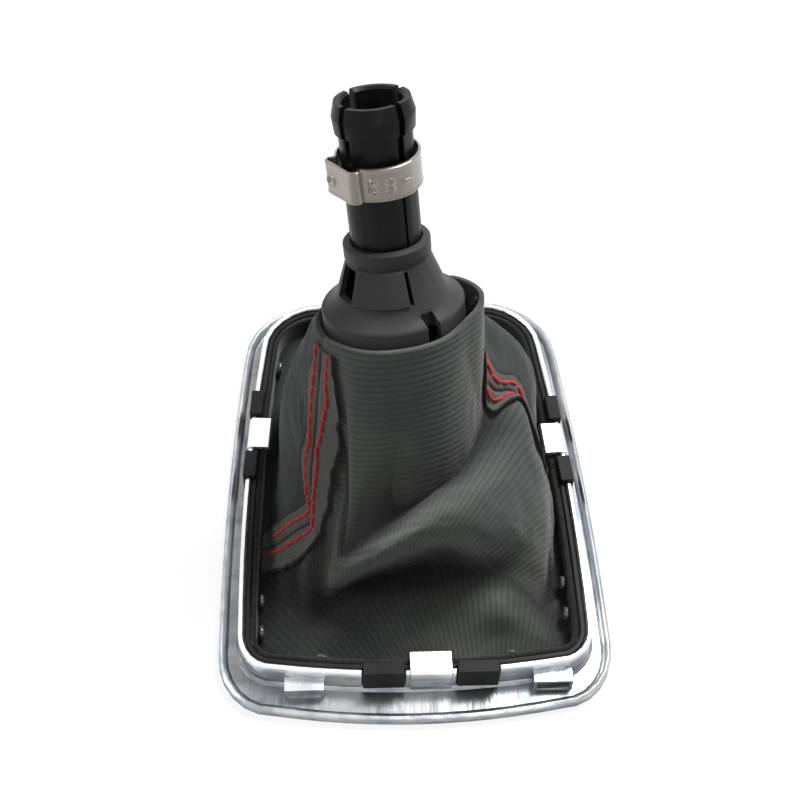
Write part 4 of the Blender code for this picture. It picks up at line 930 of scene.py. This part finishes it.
def stud_head(number, spot, finish):
    """One rivet head: its profile turned round the line square to the hem there."""
    length = hem_length_at(np.array(spot) * FOLD_SCALE[:2])
    point, ahead, behind = hem_point(length + np.array([0.0, STUD_RADIUS, -STUD_RADIUS]))
    inward = unit(np.array([behind[1] - ahead[1], ahead[0] - behind[0], 0.0]))
    side = np.array([-inward[1], inward[0], 0.0])
    base = np.append(point, (HEM_FOOT + HEM_TOP) / 2) + inward * STUD_SEAT
    turn = np.linspace(0.0, math.tau, STUD_SIDES, endpoint=False)[:, None]
    radius, height = (np.array(STUD_PROFILE) * MM).T
    across, up = (wave(turn) * radius for wave in (np.cos, np.sin))
    points = base + across[..., None] * side + up[..., None] * np.array([0.0, 0.0, 1.0])
    points = points + height[:, None] * inward
    count = len(STUD_PROFILE)
    rows = (np.arange(STUD_SIDES) * count).tolist()
    tip = STUD_SIDES * count
    faces = grid_faces(STUD_SIDES, count, wrap_rows=True).tolist()
    faces += [[tip, a, b] for a, b in zip(rows, rows[1:] + rows[:1])]
    faces += [[tip + 1, b + count - 1, a + count - 1] for a, b in zip(rows, rows[1:] + rows[:1])]
    points = np.concatenate([points.reshape(-1, 3), [base + inward * STUD_CROWN, base]])
    head = face_out(mesh_object(f"stud_head_{number:02d}", points, faces, finish))
    return settle(head, "stud_heads", f"gaiter_stud_{number:02d}")


# Finishes
def knit_finish(name, colour, pitch, ribbed):
    """Cloth whose ribs and cross threads follow its own flat coordinates.

    A rib is a sine of the length across, bent a little by noise, and the threads are a finer sine of
    the length along; both fade into one height and darken the grooves with painted shade.
    """
    finish = Finish(name, colour, Roughness=0.92, Sheen_Weight=0.25, Sheen_Roughness=0.55,
                    Specular_IOR_Level=0.2)
    along, across = finish.flat()
    drift, cloudy, fluff = finish.noise(120.0, 2.0), finish.noise(38.0), finish.noise(2600.0, 2.0)
    rib = ((across + (drift - 0.5) * (0.3 * MM)) * (math.tau / pitch)).wave()
    thread = ((along + rib * (0.2 * MM)) * (math.tau / (0.42 * pitch))).wave()
    ribs = rib ** 0.45 if ribbed else rib * 0.35 + 0.4
    height = ribs * 0.7 + thread * 0.18 + fluff * 0.3
    # Painted shade in the grooves between the ribs, with random tone from the fluff
    shade = ribs * 0.34 + thread * 0.08 + fluff * 0.34 + 0.42
    tint = finish.blend(cloudy.step(0.35, 0.65), toned(colour, 0.82, 0.84, 0.84),
                        toned(colour, 1.10, 1.12, 1.06))
    # Painted shade darkens the colour in hollows and at the hem, and painted light brightens the crests
    depth = finish.node("ShaderNodeAttribute", {"attribute_name": "painted_fold_shading"}, output="Fac")
    fold_shade_and_highlight = 1.0 - depth.held() * 0.85 + (0.0 - depth).held() * 0.25
    return finish.done(finish.shaded(tint, shade * fold_shade_and_highlight), 0.86 + fluff * 0.12, height,
                       0.22 * MM if ribbed else 0.14 * MM, 0.9)


def strip_finish(colour):
    """The cloth's smooth back on the seam allowances, with a dark, fuzzy raw edge whose dark is partly
    painted shadow of the lifted edge.
    """
    finish = Finish("allowance_back", colour, Roughness=0.85, Sheen_Weight=0.2, Specular_IOR_Level=0.2)
    share, _ = finish.flat()
    fuzz, cloudy = finish.noise(1500.0, 2.0), finish.noise(60.0)
    # The raw edge is dark fuzz, and partly painted shadow of the lifted edge
    raw_edge_and_shade = (share + (fuzz - 0.5) * 0.14).step(0.84, 0.92)
    tint = finish.blend(raw_edge_and_shade, colour, (0.022, 0.024, 0.023))
    tint = finish.shaded(tint, cloudy * 0.5 + fuzz * 0.25 + 0.62)
    return finish.done(tint, None, fuzz * 0.6 + cloudy * 0.6, 0.25 * MM, 0.8)


def thread_finish(colour):
    """Twisted sewing thread: two plies that run round it as slanted waves."""
    finish = Finish("red_thread", colour, Roughness=0.6, Sheen_Weight=0.3, Specular_IOR_Level=0.35)
    turn, along = finish.flat()
    ply = (turn * (2 * math.tau) + along * (math.tau / (0.9 * MM))).wave()
    fuzz = finish.noise(1800.0, 2.0)
    tint = finish.shaded(colour, ply * 0.25 + fuzz * 0.4 + 0.6)
    return finish.done(tint, None, ply + fuzz * 0.5, 0.12 * MM, 0.8)


def moulded_finish(name, colour, rough, grain=0.05 * MM, dust=0.1, coat=0.0):
    """Moulded plastic: fine grain, cloudy gloss and a thin, pale dust."""
    finish = Finish(name, colour, Roughness=rough, Specular_IOR_Level=0.14, Coat_Weight=coat)
    fine, cloudy = finish.noise(2200.0, 2.0), finish.noise(90.0, 4.0)
    specks = finish.noise(700.0, 3.0, 0.7).step(0.62, 0.75)
    film = (cloudy.step(0.35, 0.75) * 0.6 + specks * 0.5) * dust
    tint = finish.blend(film.held(), colour, [value + 0.06 for value in colour])
    rough = rough + (cloudy - 0.5) * 0.16 + film * 0.2
    return finish.done(tint, rough, fine * 0.7 + cloudy * 0.3, grain, 0.6)


def steel_finish(colour):
    """Rolled stainless band: fine lines along it, smudges, and painted reflection: a darker tone where it
    faces the eye and a lighter one at grazing angles.
    """
    finish = Finish("stainless_band", colour, Metallic=1.0, Roughness=0.3)
    along, height = finish.flat()
    line = finish.node("ShaderNodeCombineXYZ", {}, {"X": along * 12.0, "Y": height * 1400.0, "Z": 0.0})
    rolled, smudge = finish.noise(3.0, 3.0, 0.6, line), finish.noise(130.0)
    # Painted reflection: the tone is darker where the band faces the eye and lighter where it is seen edge
    # on
    edge = finish.node("ShaderNodeLayerWeight", {}, {"Blend": 0.5}, output="Facing")
    tint = finish.shaded(finish.blend(smudge, colour, toned(colour, 0.72)),
                         (rolled * 0.3 + 0.85) * (edge * 0.9 + 0.42))
    return finish.done(tint, 0.2 + smudge * 0.2 + rolled * 0.08, rolled, 0.02 * MM, 0.5)


def plated_finish(name, colour, rough, streaks, painted_height_light=False):
    """Bright plating: cloudy haze, drawn-out streaks and small pits.

    If asked, light and shade are painted by the height over the floor: low faces are darker with painted
    shade and the tops brighter with a painted highlight.
    """
    finish = Finish(name, colour, Metallic=1.0, Roughness=rough)
    long_way, cross_way = (finish.node("ShaderNodeMapping", {}, {"Vector": finish.body, "Scale": scale})
                           for scale in ((1.0, 0.16, 3.0), (0.16, 1.0, 3.0)))
    streak = finish.noise(150.0, 4.0, 0.6, long_way).step(0.40, 0.68)
    cross = finish.noise(130.0, 4.0, 0.6, cross_way).step(0.42, 0.70)
    haze, pits = finish.noise(45.0), finish.noise(900.0, 3.0, 0.6)
    dark = toned(colour, 0.52, 0.56, 0.61)
    marks = ((streak + cross) * (0.7 * streaks)).held()
    tint = finish.blend(marks, colour, dark)
    if painted_height_light:
        # Painted shade on the low faces and a painted highlight on the tops
        height = finish.parts(finish.body)[2]
        floor = finish.blend(marks, toned(colour, 0.44), toned(dark, 0.42))
        tint = finish.blend(height.step(1.5 * MM, 4.5 * MM), floor, tint)
        tint = finish.blend(height.step(7.5 * MM, 10.0 * MM), tint, (0.90, 0.90, 0.90))
    height = haze * 0.8 + pits * 0.12 + streak * 0.5
    return finish.done(tint, rough + haze * 0.14 + marks * 0.08, height, 0.30 * MM, 0.35)


def leather_finish():
    """Black leather with fine creases between pebbles."""
    finish = Finish("black_leather", (0.018, 0.018, 0.019), Roughness=0.5, Specular_IOR_Level=0.4)
    pebble = finish.node("ShaderNodeTexVoronoi", {"feature": "DISTANCE_TO_EDGE"},
                         {"Vector": finish.body, "Scale": 900.0})
    cloudy = finish.noise(120.0)
    crease = pebble.step(0.0, 0.25)
    tint = finish.blend(crease, (0.008, 0.008, 0.008), (0.024, 0.024, 0.025))
    return finish.done(tint, 0.42 + cloudy * 0.2, crease + cloudy * 0.4, 0.12 * MM, 0.7)


# Stage: the floor's tones, and each light's name, place, size and share of the key light's power
WHITE = (1.0, 1.0, 1.0)
FLOOR_COLOUR = (0.4, 0.4, 0.4)
SHADOW_COLOUR = (0.22, 0.22, 0.22)
FLOOR_GLOW = 0.86
LIGHT_TARGET = Vector((0.0, 0.0, 0.05))
LIGHTS = (
    ("key", (0.36, 0.34, 0.92), 0.30, 1.0),
    ("left", (-0.80, -0.15, 0.60), 0.40, 0.22),
    ("front", (0.20, -0.85, 0.80), 0.40, 0.10),
)


def cleared_graph(holder):
    """An empty node tree for a material or a world."""
    holder.use_nodes = True
    holder.node_tree.nodes.clear()
    return Graph(holder.node_tree)


def make_floor(size):
    """A pale floor that reads near white and keeps the object's soft shadow."""
    corners = np.array([(-1, -1, 0), (1, -1, 0), (1, 1, 0), (-1, 1, 0)]) * (size / 2)
    material = bpy.data.materials.new("pale_floor")
    graph = cleared_graph(material)
    plain, faint = (graph.node("ShaderNodeBsdfDiffuse", {}, {"Color": colour})
                    for colour in (FLOOR_COLOUR, SHADOW_COLOUR))
    glow = graph.node("ShaderNodeEmission", {}, {"Strength": FLOOR_GLOW})
    both = graph.node("ShaderNodeAddShader", {}, [faint, glow])
    mix = graph.node("ShaderNodeMixShader", {}, [graph.seen_directly(), plain, both])
    graph.node("ShaderNodeOutputMaterial", {}, {"Surface": mix}, None)
    mesh_object("floor", corners, [[0, 1, 2, 3]], material)


def make_sky(strength):
    """A white surround for the camera and for reflections, and a softer one for the light it gives."""
    world = bpy.data.worlds.new("studio")
    bpy.context.scene.world = world
    graph = cleared_graph(world)
    soft, white = (graph.node("ShaderNodeBackground", {}, {"Color": WHITE, "Strength": power})
                   for power in (strength, 1.0))
    mix = graph.node("ShaderNodeMixShader", {}, [graph.seen_directly(), soft, white])
    graph.node("ShaderNodeOutputWorld", {}, {"Surface": mix}, None)


def make_lights(power):
    """Square soft lights round the object, aimed at one point over the floor."""
    for name, place, size, share in LIGHTS:
        lamp = bpy.data.lights.new(name, "AREA")
        lamp.shape = "SQUARE"
        lamp.size = size
        lamp.energy = power * share
        holder = add_object(name, lamp)
        holder.location = place
        holder.rotation_euler = (LIGHT_TARGET - Vector(place)).to_track_quat("-Z", "Y").to_euler()


def make_camera():
    """A camera at the photograph's place, turned by its yaw, pitch and roll."""
    lens = bpy.data.cameras.new("camera")
    lens.lens = CAMERA_LENS
    lens.sensor_width = 36.0
    lens.clip_start = 0.01
    camera = add_object("camera", lens)
    ahead, right, above = view_axes()
    turn = Matrix((right, above, -ahead)).transposed().to_4x4()
    camera.matrix_world = Matrix.Translation(CAMERA_PLACE) @ turn
    bpy.context.scene.camera = camera


# Settings
def colour_setting(name, description, default):
    """A colour in the sidebar."""
    return bpy.props.FloatVectorProperty(name=name, description=description, default=default, size=3,
                                         subtype="COLOR", min=0, max=1)


def length_setting(name, description, default, low, high):
    """A length in the sidebar, given in millimetres."""
    return bpy.props.FloatProperty(name=name, description=description, default=default * MM,
                                   min=low * MM, max=high * MM, subtype="DISTANCE", unit="LENGTH",
                                   precision=5)


class ClothSettings(bpy.types.PropertyGroup):
    """Sizes and colours of the gaiter."""

    near_colour: colour_setting("Ribbed cloth", "Colour of the ribbed panel", (0.128, 0.136, 0.130))
    far_colour: colour_setting("Smooth cloth", "Colour of the smooth panel", (0.060, 0.070, 0.066))
    strip_colour: colour_setting("Seam allowance", "Colour of the cloth's back", (0.150, 0.150, 0.142))
    thread_colour: colour_setting("Thread", "Colour of the stitching", (0.76, 0.045, 0.030))
    rib_pitch: length_setting("Rib pitch", "Distance from rib to rib", 1.85, 0.5, 5)
    wrinkle: length_setting("Wrinkle depth", "Height of the small wrinkles", 0.45, 0, 1.5)
    stitch_length: length_setting("Stitch length", "Length of one stitch", 4.6, 1, 8)
    stitch_gap: length_setting("Stitch gap", "Space between stitches", 0.15, 0.1, 3)
    thread_diameter: length_setting("Thread diameter", "Thickness of the thread", 1.05, 0.2, 1.5)


class HardwareSettings(bpy.types.PropertyGroup):
    """Colours and edges of the rigid pieces."""

    plating: colour_setting("Plating", "Colour of the trim frame", (0.70, 0.71, 0.72))
    plastic: colour_setting("Plastic", "Colour of the collar and carrier", (0.0135, 0.0135, 0.0135))
    steel: colour_setting("Steel", "Colour of the clamp", (0.48, 0.455, 0.41))
    edge: length_setting("Edge radius", "How far sharp edges are eased", 0.18, 0, 0.5)


class StageSettings(bpy.types.PropertyGroup):
    """Floor and light."""

    key_power: bpy.props.FloatProperty(
        name="Key light", description="Power of the key light", default=9.0, min=0.0, subtype="POWER",
        unit="POWER")
    sky: bpy.props.FloatProperty(
        name="Sky light", description="Strength of the light from all round", default=0.08, min=0.0,
        max=2.0, subtype="FACTOR")
    floor_size: bpy.props.FloatProperty(
        name="Floor size", description="Side of the floor", default=6.0, min=1.0, subtype="DISTANCE",
        unit="LENGTH")


# Operators
class GEARKNOB_OT_cloth(bpy.types.Operator):
    bl_idname = "gearknob.cloth"
    bl_label = "Gaiter cloth"

    def execute(self, context):
        sizes = context.scene.gearknob_cloth
        knit = knit_finish("grey_knit", tuple(sizes.near_colour), sizes.rib_pitch, True)
        lining = knit_finish("grey_lining", tuple(sizes.far_colour), 1.1 * MM, False)
        back = strip_finish(tuple(sizes.strip_colour))
        near = cloth_panel("gaiter_near_cloth", 0, RIGHT_SEAM, NEAR_COLUMNS, knit, 11, True, sizes.wrinkle)
        far = cloth_panel("gaiter_far_cloth", RIGHT_SEAM, len(GAITER_FOLDS), FAR_COLUMNS, lining, 23,
                          False, sizes.wrinkle)
        strips = [settle(strip(*row, back, seed), "grey_lining") for row, seed in (
            (("near_left_allowance", 0, 1, NEAR_LEFT_WIDTHS, LEFT_STRIP_ROWS), 31),
            (("near_right_allowance", RIGHT_SEAM, -1, NEAR_RIGHT_WIDTHS, RIGHT_STRIP_ROWS), 41),
            (("far_left_allowance", 0, -1, FAR_LEFT_WIDTHS, LEFT_STRIP_ROWS), 51),
            (("far_right_allowance", RIGHT_SEAM, 1, FAR_RIGHT_WIDTHS, RIGHT_STRIP_ROWS), 61),
        )]
        settle(near, "grey_knit", "gaiter_near_panel")
        settle(far, "grey_lining", "gaiter_far_panel")
        return {"FINISHED"}


class GEARKNOB_OT_stitching(bpy.types.Operator):
    """Sew the four rows of red stitches along the seams"""

    bl_idname = "gearknob.stitching"
    bl_label = "Seam stitching"

    def execute(self, context):
        sizes = context.scene.gearknob_cloth
        red = thread_finish(tuple(sizes.thread_colour))
        for name, seam, side, row in (
                ("left_%s_inner", 0, 1, NEAR_LEFT_ROW),
                ("left_%s_outer", 0, -1, FAR_LEFT_ROW),
                ("right_%s_inner", RIGHT_SEAM, 1, RIGHT_ROW),
                ("right_%s_outer", RIGHT_SEAM, -1, RIGHT_ROW)):
            piece = stitches(name % "stitches", seam, side, row, red, sizes)
            settle(piece, "red_thread", name % "thread")
        return {"FINISHED"}


class GEARKNOB_OT_clamp(bpy.types.Operator):
    """Bend the ear clamp from its band"""

    bl_idname = "gearknob.clamp"
    bl_label = "Ear clamp"

    def execute(self, context):
        steel = steel_finish(tuple(context.scene.gearknob_hardware.steel))
        settle(clamp_band(steel), "stainless_band", "ear_clamp")
        return {"FINISHED"}


class GEARKNOB_OT_collar(bpy.types.Operator):
    """Finish the collar with its front panel, the lever sleeve and the neck's tie"""

    bl_idname = "gearknob.collar"
    bl_label = "Collar and sleeve"

    def execute(self, context):
        sizes = context.scene.gearknob_hardware
        plastic = tuple(sizes.plastic)
        nylon = moulded_finish("black_nylon", toned(plastic, 4.4), 0.46, 0.05 * MM, 0.35)
        dark = moulded_finish("black_sleeve", toned(plastic, 0.6), 0.36)
        cord = moulded_finish("tie_cord", (0.03, 0.03, 0.03), 0.6, 0.1 * MM, 0.3)
        smooth_copy("gaiter_collar", nylon, sizes.edge)
        smooth_copy("lever_sleeve", dark, sizes.edge)
        smooth_copy("neck_tie", cord, angle=60.0)
        front_panel(nylon)
        return {"FINISHED"}


class GEARKNOB_OT_trim(bpy.types.Operator):
    """Finish the trim frame, the carrier in it and the rivets that hold the hem"""

    bl_idname = "gearknob.trim"
    bl_label = "Trim frame and carrier"

    def execute(self, context):
        sizes = context.scene.gearknob_hardware
        plating = plated_finish("bright_plating", tuple(sizes.plating), 0.22, 1.0, True)
        black = moulded_finish("black_moulding", tuple(sizes.plastic), 0.42, 0.06 * MM, 0.5)
        gloss = moulded_finish("stud_heads", (0.09, 0.09, 0.095), 0.2, 0.03 * MM, 0.2, 1.0)
        smooth_copy("trim_frame", plating, 0.8 * sizes.edge)
        smooth_copy("gaiter_carrier", black, 0.8 * sizes.edge)
        for number, spot in enumerate(STUD_SPOTS, start=1):
            stud_head(number, spot, gloss)
        return {"FINISHED"}


class GEARKNOB_OT_knob(bpy.types.Operator):
    """Finish the knob's head inside the gaiter: cover, rings, cap and core"""

    bl_idname = "gearknob.knob"
    bl_label = "Knob head"

    def execute(self, context):
        smooth_copy("head_cover", leather_finish(), angle=40.0)
        for node, finish in (
                ("knob_core", moulded_finish("core_moulding", (0.05, 0.05, 0.05), 0.55)),
                ("neck_ring", plated_finish("satin_ring", (0.72, 0.72, 0.73), 0.28, 0.2)),
                ("cap_bezel", plated_finish("crown_plating", (0.76, 0.76, 0.77), 0.18, 0.2)),
                ("shift_cap", moulded_finish("gloss_cap", (0.014, 0.014, 0.015), 0.14, 0.01 * MM, 0.05,
                                             0.5))):
            smooth_copy(node, finish, context.scene.gearknob_hardware.edge)
        return {"FINISHED"}


class GEARKNOB_OT_stage(bpy.types.Operator):
    """Make the floor, the soft light and the camera"""

    bl_idname = "gearknob.stage"
    bl_label = "Floor, light and camera"

    def execute(self, context):
        sizes = context.scene.gearknob_stage
        make_floor(sizes.floor_size)
        make_sky(sizes.sky)
        make_lights(sizes.key_power)
        make_camera()
        context.scene.view_settings.view_transform = "Standard"
        return {"FINISHED"}


class GEARKNOB_PT_sidebar(bpy.types.Panel):
    """The settings and steps of the gear knob"""

    bl_idname = "GEARKNOB_PT_sidebar"
    bl_label = "Gear knob"
    bl_space_type = "VIEW_3D"
    bl_region_type = "UI"
    bl_category = "Gear knob"

    def draw(self, context):
        for holder in SETTINGS:
            box = self.layout.box()
            for label in SETTINGS[holder].__annotations__:
                box.prop(getattr(context.scene, holder), label)
        for step in STEPS:
            self.layout.operator(step.bl_idname)


SETTINGS = {
    "gearknob_cloth": ClothSettings,
    "gearknob_hardware": HardwareSettings,
    "gearknob_stage": StageSettings,
}
STEPS = (
    GEARKNOB_OT_trim,
    GEARKNOB_OT_cloth,
    GEARKNOB_OT_stitching,
    GEARKNOB_OT_collar,
    GEARKNOB_OT_clamp,
    GEARKNOB_OT_knob,
    GEARKNOB_OT_stage,
)


def register():
    """Register the settings, the operators and the panel."""
    for entry in (*SETTINGS.values(), *STEPS, GEARKNOB_PT_sidebar):
        bpy.utils.register_class(entry)
    for holder, settings in SETTINGS.items():
        setattr(bpy.types.Scene, holder, bpy.props.PointerProperty(type=settings))


def unregister():
    """Take the settings, the operators and the panel out again."""
    for holder in SETTINGS:
        delattr(bpy.types.Scene, holder)
    for entry in reversed((*SETTINGS.values(), *STEPS, GEARKNOB_PT_sidebar)):
        bpy.utils.unregister_class(entry)


def main():
    """Run every step."""
    register()
    bpy.ops.gearknob.trim()
    bpy.ops.gearknob.cloth()
    bpy.ops.gearknob.stitching()
    bpy.ops.gearknob.collar()
    bpy.ops.gearknob.clamp()
    bpy.ops.gearknob.knob()
    bpy.ops.gearknob.stage()


if __name__ == "__main__":
    main()
